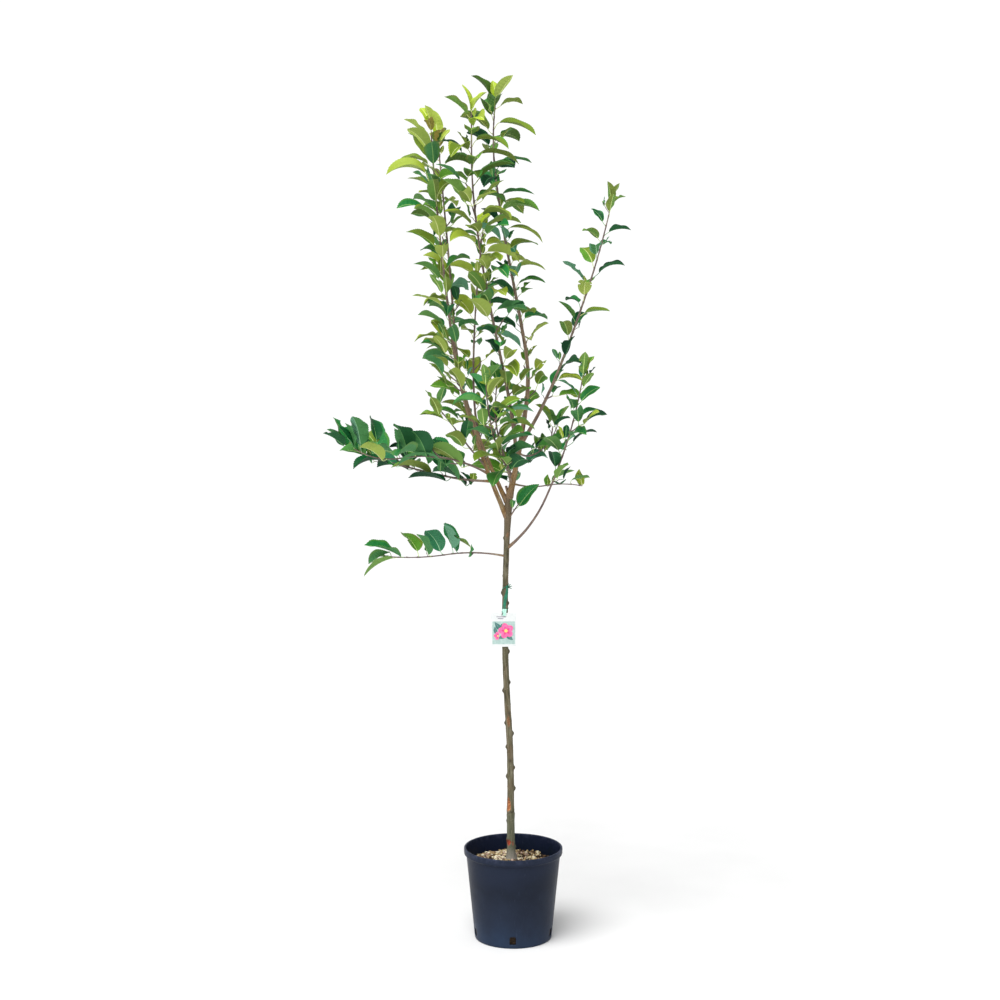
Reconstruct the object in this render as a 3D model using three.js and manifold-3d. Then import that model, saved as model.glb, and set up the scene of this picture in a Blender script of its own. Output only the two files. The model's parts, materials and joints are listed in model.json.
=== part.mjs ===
// A young grafted dwarf apple tree in leaf, in a round nursery pot.
//
// Units are millimetres, +Z is up, -Y is the front and the origin is the centre of the pot's flat
// underside. The plant is an assembly of separate solids: the trunk, one bare tapering bough at the foot
// of each shoot, and one mass of leaves on each bough's tip. A shoot sets out from its parent with a
// bearing and a lean that change evenly along it. Its leaves follow one seeded rule and keep to the space
// that is nearer to their own stem than to any other.

import * as THREE from "three";
import { mergeVertices } from "three/addons/utils/BufferGeometryUtils.js";
import Module from "manifold-3d";

const wasm = await Module();
wasm.setup();

// ---------------------------------------------------------------- driving dimensions

const GAP = 0.3; // clearance between two pieces that touch
const SLIVER = 0.03; // detail under this size is smoothed away where solids are joined

const POT = {
  height: 278.5,
  rimRadius: 150,
  wallRadius: 143, // outer radius of the wall under the lip
  baseRadius: 117,
  baseRound: 4,
  thickness: 2.5,
  floor: 4,
  lipHeight: 20,
  lipRound: 2, // how far the lip's edges are rounded
  lipWidth: 6, // across the top of the lip
  segments: 36,
};

const DRAIN_SLOTS = {
  count: 5, width: 19, height: 24, corner: 5, sill: 13, cutDepth: 12, firstBearing: -91,
};

const SOIL = { footLevel: 236.7, footRadius: 32, shoulderLevel: 234, shoulderRadius: 77, edgeLevel: 229 };

const TRUNK = {
  name: "trunk",
  foot: [-6, 0, SOIL.footLevel + GAP],
  length: 1110,
  // [bearing, lean from upright] in degrees at stations evenly spaced along the trunk
  aims: [[-184, 1], [-194, 0], [-196, 4], [-200, 1], [-203, -2], [-215, -3]],
  footRadius: 11,
  topRadius: 7.9,
  taperLength: 850,
  taperPower: 0.6,
  flare: 7, // how far the root flare stands out at the ground
  flareHeight: 16,
  graftHeight: 147,
  graftSpread: 14,
  graftBulge: 1.5,
  rootstockExtra: 0.8, // the rootstock under the graft is this much thicker
  crotchStart: 960, // where the trunk begins to swell towards its fork
  crotchSwell: 4,
  sides: 10,
  footRings: [0, 7, 18, 40, 85, 133, 147, 163], // distances along the trunk
  ringStep: 50, // above the last foot ring
};

// The tie is wound round the trunk between two distances along it.
const LABEL_TIE = { from: 775, to: 842, outerRadius: 14.2, waist: 1, rings: 4, sides: 10 };
const STRAP = { width: 17, thickness: 1.6, aboveTieFoot: 12, drop: 36, stand: 0.4 };
const LABEL_CARD = { width: 77, height: 103, thickness: 1, corner: 3, belowTieFoot: 15, offset: -4 };

// How each kind of shoot carries its leaves. size is a blade's length, wide its half-width and petiole its
// stalk, both as shares of size. rise, start, bend and spread are angles in degrees: how far the stalk
// leans up the stem, how steeply the blade sets out, how far it arches over, and how much start varies.
// lift pulls the stalk upright, step is the way from leaf to leaf, first the bare way before them, spurs
// the share of side twigs at the foot, and fade how much smaller the leaves get towards the tip. stations
// are the shares of the blade's length where its section is cut.
const HABITS = {
  leader: {
    size: 106, wide: 0.28, petiole: 0.3, rise: 40, lift: 0.15, start: 32, bend: 54, spread: 22,
    step: 21, first: 8, spurs: 0.36, fade: 0.04, stations: [0.3, 0.68],
  },
  arch: {
    size: 96, wide: 0.28, petiole: 0.3, rise: 38, lift: 0.2, start: 36, bend: 46, spread: 24,
    step: 27, first: 12, spurs: 0.3, fade: 0.12, stations: [0.3, 0.68],
  },
  flat: {
    size: 98, wide: 0.3, petiole: 0.28, rise: 30, lift: 0.6, start: 38, bend: 44, spread: 34,
    step: 26, first: 10, spurs: 0.2, fade: 0.1, stations: [0.3, 0.68],
  },
  inner: {
    size: 98, wide: 0.29, petiole: 0.28, rise: 34, lift: 0.3, start: 26, bend: 56, spread: 26,
    step: 20, first: 8, spurs: 0.3, fade: 0.1, stations: [0.38],
  },
  upright: {
    size: 88, wide: 0.3, petiole: 0.26, rise: 24, lift: 0.9, start: 58, bend: 24, spread: 42,
    step: 31, first: 12, spurs: 0.05, fade: 0.1, stations: [0.3, 0.68],
  },
};

// Each shoot leaves its parent at a distance along it, is bare for a stretch that is its bough, and tapers
// from its first radius to its second. A few change their habit a little.
const SHOOTS = [
  {
    name: "right", parent: "trunk", at: 1098, length: 1208, bare: 250, radius: [10, 1.8],
    aims: [[19, 14], [54, 14], [-36, -12], [-4, -11], [-13, -8], [2, 7]], habit: "leader", seed: 866,
  },
  {
    name: "left_outer", parent: "trunk", at: 1041, length: 1171, bare: 190, radius: [8, 1.8],
    aims: [[-160, 25], [-159, 19], [-155, 8], [-173, 6], [-173, 3]], habit: "leader", seed: 1415,
  },
  {
    name: "left_inner", parent: "trunk", at: 1085, length: 1144, bare: 142, radius: [7.5, 1.8],
    aims: [[150, 30], [152, 22], [129, 6], [152, 6], [150, 6]], habit: "leader", seed: 137,
  },
  {
    name: "centre", parent: "right", at: 126, length: 1030, bare: 95, radius: [6.5, 1.8],
    aims: [[-117, 13], [-125, 20], [-141, 14], [-147, 7], [-72, -2]], habit: "leader", seed: 241,
  },
  {
    name: "middle", parent: "left_inner", at: 118, length: 772, bare: 80, radius: [5, 1.8],
    aims: [[133, 40], [99, 16], [70, 9], [25, 7]], habit: "leader", seed: 1130, change: { step: 24 },
  },
  {
    name: "far_right", parent: "right", at: 169, length: 767, bare: 150, radius: [6.5, 1.6],
    aims: [[-12, 33], [-17, 22], [-19, 19], [-22, 13]], habit: "arch", seed: 892,
  },
  {
    name: "low_right", parent: "trunk", at: 953, length: 589, bare: 250, radius: [4.8, 1.6],
    aims: [[-19, 52], [-30, 27], [-30, 19], [-35, 11]], habit: "arch", seed: 803,
  },
  {
    name: "right_twig", parent: "right", at: 53, length: 281, bare: 140, radius: [3, 1.4],
    aims: [[42, 105], [40, 85], [33, 101]], habit: "upright", seed: 2330,
    change: { step: 36, size: 72, start: 35 },
  },
  {
    name: "low_left", parent: "trunk", at: 930, length: 370, bare: 95, radius: [3.2, 1.4],
    aims: [[-168, 77], [-166, 97], [-167, 83]], habit: "upright", seed: 3270,
  },
  {
    name: "far_left", parent: "left_outer", at: 128, length: 477, bare: 55, radius: [4.5, 1.5],
    aims: [[148, 93], [163, 79], [169, 76], [170, 67]], habit: "flat", seed: 58, change: { step: 28 },
  },
  {
    name: "upper_left", parent: "left_outer", at: 150, length: 430, bare: 60, radius: [4, 1.5],
    aims: [[-151, 61], [-155, 78], [-167, 99], [-170, 58]], habit: "flat", seed: 457,
  },
  {
    name: "left_side", parent: "left_outer", at: 174, length: 260, bare: 75, radius: [3.4, 1.4],
    aims: [[-131, 53], [-145, 41], [-156, 42]], habit: "arch", seed: 2461,
  },
  {
    name: "front", parent: "right", at: 45, length: 424, bare: 60, radius: [4.5, 1.5],
    aims: [[-101, 46], [-109, 56], [-105, 40], [-100, 20]], habit: "inner", seed: 335,
  },
  {
    name: "back", parent: "trunk", at: 1075, length: 480, bare: 90, radius: [5, 1.5],
    aims: [[62, 45], [114, 48], [109, 32], [60, 7]], habit: "inner", seed: 396,
  },
  {
    name: "right_inner", parent: "right", at: 148, length: 256, bare: 60, radius: [3.6, 1.4],
    aims: [[67, 113], [51, 69], [52, 30]], habit: "inner", seed: 153,
  },
  {
    name: "trunk_spur", parent: "trunk", at: 1036, length: 68, bare: 34, radius: [2.6, 1.6],
    aims: [[-32, 32], [-29, 39]], habit: "flat", seed: 3750, change: { step: 200, first: 10 },
  },
];

const ROUTE_PARTS = 24; // straight parts in each limb's centre line
const TAPER_POWER = 0.75;
const BOUGH = { sides: 7, ringStep: 48 };
const STEM = { sides: 4, ringStep: 75 };
const CHORD_STEEP = 0.6; // a limb whose chord rises more than this counts its rings from the back
const SAMPLES = { wood: 20, leafy: 30, woodStop: 12 }; // ways between a limb's samples
const SIDE_TWIG = {
  radius: 2.3, shortest: 18, longest: 46, pastFoot: 4, outShare: 0.8, stemShare: 0.45, upShare: 0.3,
  leafTurn: 1.5, leafTurnSpread: 0.3, smallest: 0.78,
};
const PRUNED_STUB = { at: 20, radius: 4.5, tipRadius: 3.6, sides: 6, length: 26, bearing: 180, lean: 14 };

// How far leaves differ: degrees added to rise, bend, roll and fold, and factors of size, stalk and width.
const VARIATION = {
  rise: [-12, 12], size: [0.82, 1.12], stalk: [0.8, 1.15], bend: [-22, 26], roll: [-32, 32],
  width: [0.88, 1.12], fold: [14, 38],
};
const LEAST_BEND = 12;
const BLADE = { basePower: 0.6, tipPower: 0.9, peak: 0.3642 }; // the outline's powers and its highest value
const YOUTH = { tip: 0.7, reach: 90, steeper: 60, spring: 0.1 }; // smaller, steeper leaves near a tip
const TIP_LEAVES = { back: 2, turn: 2.4, youth: 0.72, rise: 78, start: 62, bend: 30, petiole: 0.1 };
const LAST_LEAF = 3; // leaves stop this far before the stem's end

const LEAF_TURN = 144; // degrees from one leaf to the next round the stem
const TURN_SPREAD = 0.45; // radians
const NEXT_TRY = 0.9; // radians between the bearings that a leaf tries
const STEP_SPREAD = [0.75, 1.25];
const RIB_SHARES = [0.15, 0.5, 0.85]; // where a leaf's distance from other leaves is measured
const EDGE_SHARES = [0.35, 0.72]; // where its edges are probed
const LEAF_ROOT_RADIUS = 0.8;
const STALK_RADIUS = 1.4;
const LEAF_THICKNESS_SHARE = 0.014;
const TRIES = 6; // bearings that a leaf tries before it is skipped
const CROWDING = 0.14; // least way between two leaves' ribs, as a share of their sizes together
const WOOD_CLEARANCE = 16; // from a leaf's probes to any bare wood
const SPACE_MARGIN = 5; // a probe is nearer to its own stem than to any other by this much

const COLOURS = {
  pot: 0x232a3a,
  soil: 0x8a7450,
  bark: 0x6b6350,
  bough: 0x80603a,
  leafHigh: 0x86a338,
  leafMiddle: 0x5f9138,
  leafLow: 0x2f7a42,
  tie: 0x1f8a5c,
  card: 0xf2f2ee,
};

// ---------------------------------------------------------------- small helpers

const UP = new THREE.Vector3(0, 0, 1);
const AWAY = new THREE.Vector3(0, 1, 0);
const LEVEL = [new THREE.Vector3(1, 0, 0), AWAY]; // the two directions of a level ring
const radians = THREE.MathUtils.degToRad;
const mix = THREE.MathUtils.lerp;

// A repeatable stream of numbers (the Park and Miller generator).
function dice(seed) {
  let state = seed * 9973 + 12345;
  const draw = (low = 0, high = 1) => {
    state = (state * 48271) % 2147483647;
    return low + ((high - low) * state) / 2147483647;
  };
  for (let i = 0; i < 3; i++) draw();
  return draw;
}

// A closed solid from rows of equally many points: neighbouring rows are joined and both ends are capped.
function loft(rows) {
  const size = rows[0].length;
  const last = size * (rows.length - 1);
  const faces = [];
  for (let start = 0; start < last; start += size) {
    for (let i = 0; i < size; i++) {
      const next = (i + 1) % size;
      faces.push([start + i, start + size + i, start + size + next]);
      faces.push([start + i, start + size + next, start + next]);
    }
  }
  for (let i = 1; i + 1 < size; i++) faces.push([0, i, i + 1], [last, last + i + 1, last + i]);
  return solid(rows.flat(), faces);
}

// A manifold solid from points and faces, turned the right way out.
function solid(points, faces) {
  const make = (list) =>
    new wasm.Manifold(
      new wasm.Mesh({
        numProp: 3,
        vertProperties: new Float32Array(points.flatMap((p) => [p.x, p.y, p.z])),
        triVerts: new Uint32Array(list.flat()),
      }),
    );
  const made = make(faces);
  return made.volume() > 0 ? made : make(faces.map(([a, b, c]) => [a, c, b]));
}

function solidOfGeometry(geometry) {
  const plain = geometry.clone();
  plain.deleteAttribute("normal");
  plain.deleteAttribute("uv");
  const merged = mergeVertices(plain, 1e-3);
  const at = merged.attributes.position;
  const points = Array.from({ length: at.count }, (_, i) => new THREE.Vector3().fromBufferAttribute(at, i));
  const faces = [];
  for (let i = 0; i < merged.index.count; i += 3) {
    const face = [0, 1, 2].map((k) => merged.index.getX(i + k));
    if (new Set(face).size === 3) faces.push(face);
  }
  return solid(points, faces);
}

function geometryOf(made) {
  const mesh = made.getMesh();
  const geometry = new THREE.BufferGeometry();
  geometry.setAttribute("position", new THREE.BufferAttribute(mesh.vertProperties, 3));
  geometry.setIndex(new THREE.BufferAttribute(mesh.triVerts, 1));
  geometry.computeVertexNormals();
  return geometry;
}

// The largest body of a solid, without sealed hollows, loose scraps or slivers.
function mainBody(made) {
  const bodies = made.decompose();
  const largest = bodies.reduce((best, body) => (body.volume() > best.volume() ? body : best));
  return largest.asOriginal().simplify(SLIVER);
}

// A solid of revolution about Z from [radius, height] pairs that start and end on the axis.
function turned(profile, segments) {
  const points = profile.map(([radius, height]) => new THREE.Vector2(radius, height));
  return solidOfGeometry(new THREE.LatheGeometry(points, segments).rotateX(Math.PI / 2));
}

// ---------------------------------------------------------------- limbs

function routeOf(start, length, aims) {
  const path = [start];
  const stride = length / ROUTE_PARTS;
  for (let i = 0; i < ROUTE_PARTS; i++) {
    const place = ((i + 0.5) / ROUTE_PARTS) * (aims.length - 1);
    const station = Math.floor(place);
    const share = place - station;
    const bearing = radians(mix(aims[station][0], aims[station + 1][0], share));
    const lean = radians(mix(aims[station][1], aims[station + 1][1], share));
    const way = new THREE.Vector3(
      Math.sin(lean) * Math.cos(bearing),
      Math.sin(lean) * Math.sin(bearing),
      Math.cos(lean),
    );
    path.push(path[i].clone().addScaledVector(way, stride));
  }
  return path;
}

class Limb {
  constructor(spec, start) {
    Object.assign(this, spec);
    this.path = routeOf(start, spec.length, spec.aims);
    this.stride = spec.length / ROUTE_PARTS;
    const chord = this.path.at(-1).clone().sub(start).normalize();
    this.steep = Math.abs(chord.z) > CHORD_STEEP;
  }

  // The point and the direction at a distance along the centre line.
  along(distance) {
    const part = Math.min(Math.max(Math.floor(distance / this.stride), 0), ROUTE_PARTS - 1);
    const way = this.path[part + 1].clone().sub(this.path[part]).normalize();
    const point = this.path[part].clone().addScaledVector(way, distance - part * this.stride);
    return { point, way };
  }

  // Two directions square to the limb, which leaves and rings are counted round.
  ringAxes(way) {
    const across = new THREE.Vector3().crossVectors(this.steep ? AWAY : UP, way).normalize();
    return [across, new THREE.Vector3().crossVectors(way, across)];
  }

  girth(distance) {
    return mix(this.radius[0], this.radius[1], (distance / this.length) ** TAPER_POWER);
  }

  samples(from, to, step) {
    const count = Math.max(1, Math.floor((to - from) / step + 0.5));
    return Array.from({ length: count + 1 }, (_, i) => this.along(mix(from, to, i / count)).point);
  }

  // The tapering solid of a stretch, grown outwards by extra.
  stretch(from, to, { sides, ringStep }, extra = 0) {
    const count = Math.max(1, Math.round((to - from) / ringStep));
    const rows = [];
    for (let i = 0; i <= count; i++) {
      const distance = mix(from, to, i / count);
      const { point, way } = this.along(distance);
      const past = i === 0 ? -extra : i === count ? extra : 0;
      point.addScaledVector(way, past);
      rows.push(ringOf(point, this.ringAxes(way), this.girth(distance) + extra, sides));
    }
    return loft(rows);
  }
}

function ringOf(centre, [across, other], radius, sides) {
  return Array.from({ length: sides }, (_, i) => {
    const turn = (2 * Math.PI * i) / sides;
    return centre
      .clone()
      .addScaledVector(across, radius * Math.cos(turn))
      .addScaledVector(other, radius * Math.sin(turn));
  });
}

// ---------------------------------------------------------------- trunk

class Trunk extends Limb {
  girth(distance) {
    const taper = Math.min(1, distance / TRUNK.taperLength) ** TRUNK.taperPower;
    const graftOffset = (distance - TRUNK.graftHeight) / TRUNK.graftSpread;
    const graft = TRUNK.graftBulge * Math.exp(-(graftOffset ** 2));
    const rootstock = distance < TRUNK.graftHeight ? TRUNK.rootstockExtra : 0;
    const flare = TRUNK.flare * Math.exp(-distance / TRUNK.flareHeight);
    const crotch = THREE.MathUtils.smoothstep(distance, TRUNK.crotchStart, TRUNK.length);
    const swell = graft + rootstock + flare + TRUNK.crotchSwell * crotch;
    return mix(TRUNK.footRadius, TRUNK.topRadius, taper) + swell;
  }

  // Level rings, so that the cut at the ground and the top are flat.
  body(extra = 0) {
    const lastFoot = TRUNK.footRings.at(-1);
    const count = Math.round((TRUNK.length - lastFoot) / TRUNK.ringStep);
    const upper = Array.from({ length: count }, (_, i) => mix(lastFoot, TRUNK.length, (i + 1) / count));
    const rows = [...TRUNK.footRings, ...upper].map((distance) => {
      const centre = this.along(distance).point;
      if (distance === TRUNK.length) centre.z += extra;
      return ringOf(centre, LEVEL, this.girth(distance) + extra, TRUNK.sides);
    });
    return loft(rows);
  }
}

// ---------------------------------------------------------------- leaves

// A leaf is a stalk from its base and a blade whose rib is an arc in an upright plane.
function leafAt(base, stem, out, draw, youth, habit) {
  const rise = radians(habit.rise + draw(...VARIATION.rise));
  const way = out
    .clone()
    .multiplyScalar(Math.cos(rise))
    .addScaledVector(stem, Math.sin(rise))
    .addScaledVector(UP, habit.lift)
    .normalize();
  const size = habit.size * draw(...VARIATION.size) * youth;
  const stalk = habit.petiole * size * draw(...VARIATION.stalk);
  const heading = new THREE.Vector3(way.x, way.y, 0).normalize();
  const start = radians(habit.start + habit.spread * draw(-1, 1) + (1 - youth) * YOUTH.steeper);
  const fullBend = (habit.bend + draw(...VARIATION.bend)) * Math.min(1, youth + YOUTH.spring);
  const bend = radians(Math.max(LEAST_BEND, fullBend));
  const roll = radians(draw(...VARIATION.roll));
  const halfWidth = size * habit.wide * draw(...VARIATION.width);
  const fold = radians(draw(...VARIATION.fold));
  draw(); // the leaf's shade, which its solid doesn't use
  const foot = base.clone().addScaledVector(way, stalk);
  return { base, way, foot, heading, start, bend, roll, size, halfWidth, fold };
}

// The rib's point and the blade's sideways and upward directions at a share of the blade's length.
function ribAt(leaf, share) {
  const { heading, start, bend, roll, size } = leaf;
  const slope = start - bend * share;
  const point = leaf.foot
    .clone()
    .addScaledVector(heading, ((Math.sin(start) - Math.sin(slope)) / bend) * size)
    .addScaledVector(UP, ((Math.cos(slope) - Math.cos(start)) / bend) * size);
  const flatNormal = heading.clone().multiplyScalar(-Math.sin(slope)).addScaledVector(UP, Math.cos(slope));
  const flatSide = new THREE.Vector3(-heading.y, heading.x, 0);
  const side = flatSide.clone().multiplyScalar(Math.cos(roll)).addScaledVector(flatNormal, Math.sin(roll));
  const normal = flatNormal.multiplyScalar(Math.cos(roll)).addScaledVector(flatSide, -Math.sin(roll));
  return { point, side, normal };
}

// A point on the blade's edge; hand is 1 or -1.
function edgeAt(leaf, share, hand) {
  const { point, side, normal } = ribAt(leaf, share);
  const outline = (share ** BLADE.basePower * (1 - share) ** BLADE.tipPower) / BLADE.peak;
  const reach = leaf.halfWidth * outline;
  return point
    .addScaledVector(side, hand * reach * Math.cos(leaf.fold))
    .addScaledVector(normal, reach * Math.sin(leaf.fold));
}

function probesOf(leaf) {
  const edges = EDGE_SHARES.flatMap((share) => [edgeAt(leaf, share, 1), edgeAt(leaf, share, -1)]);
  return [...edges, ribAt(leaf, 1).point, ribAt(leaf, 0.5).point, leaf.foot];
}

function leafSolid(leaf, stations) {
  const across = new THREE.Vector3(-leaf.heading.y, leaf.heading.x, 0);
  const over = new THREE.Vector3().crossVectors(leaf.way, across);
  const stalkRing = (centre, radius) =>
    [150, 30, 270].map((turn) =>
      centre
        .clone()
        .addScaledVector(across, -radius * Math.cos(radians(turn)))
        .addScaledVector(over, radius * Math.sin(radians(turn))),
    );
  const half = 0.5 * LEAF_THICKNESS_SHARE * leaf.size;
  const blade = stations.map((share) => {
    const { point, normal } = ribAt(leaf, share);
    const top = point.clone().addScaledVector(normal, half);
    const bottom = point.clone().addScaledVector(normal, -half);
    return [edgeAt(leaf, share, 1), top, edgeAt(leaf, share, -1), bottom];
  });
  const stalk = [stalkRing(leaf.base, LEAF_ROOT_RADIUS), stalkRing(leaf.foot, STALK_RADIUS)];
  return bladeLoft(stalk, blade, ribAt(leaf, 1).point);
}

// The stalk's three-sided rows, the blade's four-sided rows and the tip as one closed solid.
function bladeLoft(stalk, blade, tip) {
  const points = [...stalk.flat(), ...blade.flat(), tip];
  const faces = [[0, 1, 2]];
  const join = (near, far) => {
    const size = near.length;
    for (let i = 0; i < size; i++) {
      const next = (i + 1) % size;
      faces.push([near[i], far[i], far[next]], [near[i], far[next], near[next]]);
    }
  };
  join([0, 1, 2], [3, 4, 5]);
  // from left, right and bottom to left, top, right and bottom
  faces.push([3, 6, 7], [3, 7, 4], [4, 7, 8], [4, 8, 9], [4, 9, 5], [5, 9, 6], [5, 6, 3]);
  for (let row = 1; row < blade.length; row++) {
    const start = 6 + 4 * (row - 1);
    join([0, 1, 2, 3].map((i) => start + i), [4, 5, 6, 7].map((i) => start + i));
  }
  const last = 6 + 4 * (blade.length - 1);
  for (let i = 0; i < 4; i++) faces.push([last + i, points.length - 1, last + ((i + 1) % 4)]);
  return solid(points, faces);
}

// ---------------------------------------------------------------- masses of leaves

function nearest(point, samples) {
  return Math.sqrt(Math.min(...samples.map((sample) => sample.distanceToSquared(point))));
}

// Whether a leaf stays in its shoot's own space and off its neighbours and the bare wood.
function allowed(leaf, shoot, limbs, placed) {
  leaf.rib = RIB_SHARES.map((share) => ribAt(leaf, share).point);
  const crowded = placed.some((other) => {
    const room = CROWDING * (leaf.size + other.size);
    return leaf.rib.some((point) => nearest(point, other.rib) < room);
  });
  if (crowded) return false;
  return probesOf(leaf).every((probe) => {
    const reach = nearest(probe, shoot.leafy) + SPACE_MARGIN;
    const rivals = limbs.filter((limb) => limb !== shoot && limb.leafy.length);
    if (rivals.some((limb) => nearest(probe, limb.leafy) < reach)) return false;
    return limbs.every((limb) => nearest(probe, limb.wood) >= WOOD_CLEARANCE);
  });
}

// The leaves and side twigs of one shoot, in the order in which they grow.
function growMass(shoot, limbs) {
  const habit = { ...HABITS[shoot.habit], ...shoot.change };
  const draw = dice(shoot.seed);
  const leafyLength = shoot.length - shoot.bare;
  const leaves = [];
  const twigs = [];
  let distance = shoot.bare + habit.first;
  let bearing = draw(0, 2 * Math.PI);
  const outward = ([across, other], turn) =>
    across.clone().multiplyScalar(Math.cos(turn)).addScaledVector(other, Math.sin(turn));

  while (distance < shoot.length - LAST_LEAF) {
    const { point, way } = shoot.along(distance);
    const axes = shoot.ringAxes(way);
    const age = (distance - shoot.bare) / leafyLength;
    const grown = Math.min(1, mix(YOUTH.tip, 1, (shoot.length - distance) / YOUTH.reach));
    const youth = grown * (1 - habit.fade * age);
    const spur = draw() < habit.spurs * (1 - age);
    for (let attempt = 0; attempt < TRIES; attempt++) {
      const turn = bearing + draw(-TURN_SPREAD, TURN_SPREAD) + NEXT_TRY * attempt * (-1) ** attempt;
      const out = outward(axes, turn);
      const made = [];
      if (spur) {
        const twigWay = out
          .clone()
          .multiplyScalar(SIDE_TWIG.outShare)
          .addScaledVector(way, SIDE_TWIG.stemShare)
          .addScaledVector(UP, SIDE_TWIG.upShare)
          .normalize();
        const foot = point.clone().addScaledVector(twigWay, draw(SIDE_TWIG.shortest, SIDE_TWIG.longest));
        for (const hand of [-1, 0, 1]) {
          const { leafTurnSpread } = SIDE_TWIG;
          const leafTurn = turn + hand * SIDE_TWIG.leafTurn + draw(-leafTurnSpread, leafTurnSpread);
          const leafYouth = youth * draw(SIDE_TWIG.smallest, 1);
          const leaf = leafAt(foot, twigWay, outward(axes, leafTurn), draw, leafYouth, habit);
          if (allowed(leaf, shoot, limbs, [...leaves, ...made])) made.push(leaf);
        }
        if (made.length) twigs.push({ base: point, foot, way: twigWay });
      } else {
        const leaf = leafAt(point, way, out, draw, youth, habit);
        if (allowed(leaf, shoot, limbs, leaves)) made.push(leaf);
      }
      leaves.push(...made);
      if (made.length) break;
    }
    bearing += radians(LEAF_TURN);
    distance += habit.step * draw(...STEP_SPREAD);
  }

  // two young upright leaves at the tip
  const { point, way } = shoot.along(shoot.length - TIP_LEAVES.back);
  const young = { ...habit, ...TIP_LEAVES };
  for (const turn of [bearing, bearing + TIP_LEAVES.turn]) {
    const leaf = leafAt(point, way, outward(shoot.ringAxes(way), turn), draw, TIP_LEAVES.youth, young);
    if (allowed(leaf, shoot, limbs, leaves.slice(0, -2))) leaves.push(leaf);
  }
  return { leaves, twigs };
}

function twigSolid(shoot, { base, foot, way }) {
  const axes = shoot.ringAxes(way);
  const end = foot.clone().addScaledVector(way, SIDE_TWIG.pastFoot);
  return loft([ringOf(base, axes, 0.7 * SIDE_TWIG.radius, 3), ringOf(end, axes, SIDE_TWIG.radius, 3)]);
}

const stemSolid = (shoot, extra) => shoot.stretch(shoot.bare + GAP, shoot.length, STEM, extra);

function massSolid(shoot, limbs) {
  const { leaves, twigs } = growMass(shoot, limbs);
  const { stations } = HABITS[shoot.habit];
  const pieces = [
    ...twigs.map((twig) => twigSolid(shoot, twig)),
    ...leaves.map((leaf) => leafSolid(leaf, stations)),
  ];
  return mainBody(pieces.reduce((sum, piece) => sum.add(piece), stemSolid(shoot, 0)));
}

// ---------------------------------------------------------------- boughs

// A bough starts on its parent's centre line and is cut back to the surface of all wood before it.
function boughSolid(shoot, woodBefore) {
  let bough = shoot.stretch(0, shoot.bare, BOUGH);
  if (shoot.name === "right") bough = bough.add(prunedStub(shoot));
  return mainBody(woodBefore.reduce((rest, wood) => rest.subtract(wood), bough));
}

// What is left of the old leader, cut off beside the fork.
function prunedStub(shoot) {
  const { point } = shoot.along(PRUNED_STUB.at);
  const lean = radians(PRUNED_STUB.lean);
  const bearing = radians(PRUNED_STUB.bearing);
  const way = new THREE.Vector3(
    Math.sin(lean) * Math.cos(bearing),
    Math.sin(lean) * Math.sin(bearing),
    Math.cos(lean),
  );
  const base = point.clone().add(new THREE.Vector3(-shoot.girth(0) + PRUNED_STUB.radius, 0, 0));
  const tip = base.clone().addScaledVector(way, PRUNED_STUB.length);
  const axes = shoot.ringAxes(way);
  return loft([
    ringOf(base, axes, PRUNED_STUB.radius, PRUNED_STUB.sides),
    ringOf(tip, axes, PRUNED_STUB.tipRadius, PRUNED_STUB.sides),
  ]);
}

// ---------------------------------------------------------------- pot and soil

const wallSlope = (POT.wallRadius - POT.baseRadius) / (POT.height - POT.lipHeight);
const outerWall = (height) => POT.baseRadius + wallSlope * height;
const innerWall = (height) => outerWall(height) - POT.thickness;

function potSolid() {
  const lipFoot = POT.height - POT.lipHeight;
  const { rimRadius, lipRound, baseRound: round } = POT;
  const shell = turned(
    [
      [0, 0],
      [POT.baseRadius - round, 0],
      [POT.baseRadius, round],
      [outerWall(lipFoot), lipFoot],
      [rimRadius - lipRound, lipFoot + lipRound / 2],
      [rimRadius, lipFoot + 2 * lipRound],
      [rimRadius, POT.height - 2 * lipRound],
      [rimRadius - lipRound, POT.height],
      [rimRadius - POT.lipWidth, POT.height - lipRound / 2],
      [innerWall(lipFoot), lipFoot - 2 * lipRound],
      [innerWall(POT.floor), POT.floor],
      [0, POT.floor],
    ],
    POT.segments,
  );
  return Array.from({ length: DRAIN_SLOTS.count }, (_, i) => drainSlot(i)).reduce(
    (rest, slot) => rest.subtract(slot),
    shell,
  );
}

// A slot through the wall just above the base, with a rounded top.
function drainSlot(index) {
  const { width, height, corner, sill, cutDepth } = DRAIN_SLOTS;
  const half = width / 2;
  const outline = new THREE.Shape();
  outline.moveTo(-half, 0);
  outline.lineTo(half, 0);
  outline.lineTo(half, height - corner);
  outline.lineTo(half - corner, height);
  outline.lineTo(corner - half, height);
  outline.lineTo(-half, height - corner);
  const slot = new THREE.ExtrudeGeometry(outline, { depth: cutDepth, bevelEnabled: false });
  const bearing = radians(DRAIN_SLOTS.firstBearing + (360 * index) / DRAIN_SLOTS.count);
  slot.rotateX(Math.PI / 2);
  slot.translate(0, cutDepth / 2 - outerWall(sill), sill);
  slot.rotateZ(bearing + Math.PI / 2);
  return solidOfGeometry(slot);
}

function soilSolid() {
  const bottom = POT.floor + GAP;
  return turned(
    [
      [0, bottom],
      [innerWall(bottom) - GAP, bottom],
      [innerWall(SOIL.edgeLevel) - GAP, SOIL.edgeLevel],
      [SOIL.shoulderRadius, SOIL.shoulderLevel],
      [SOIL.footRadius, SOIL.footLevel],
      [0, SOIL.footLevel],
    ],
    POT.segments,
  );
}

// ---------------------------------------------------------------- label

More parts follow.
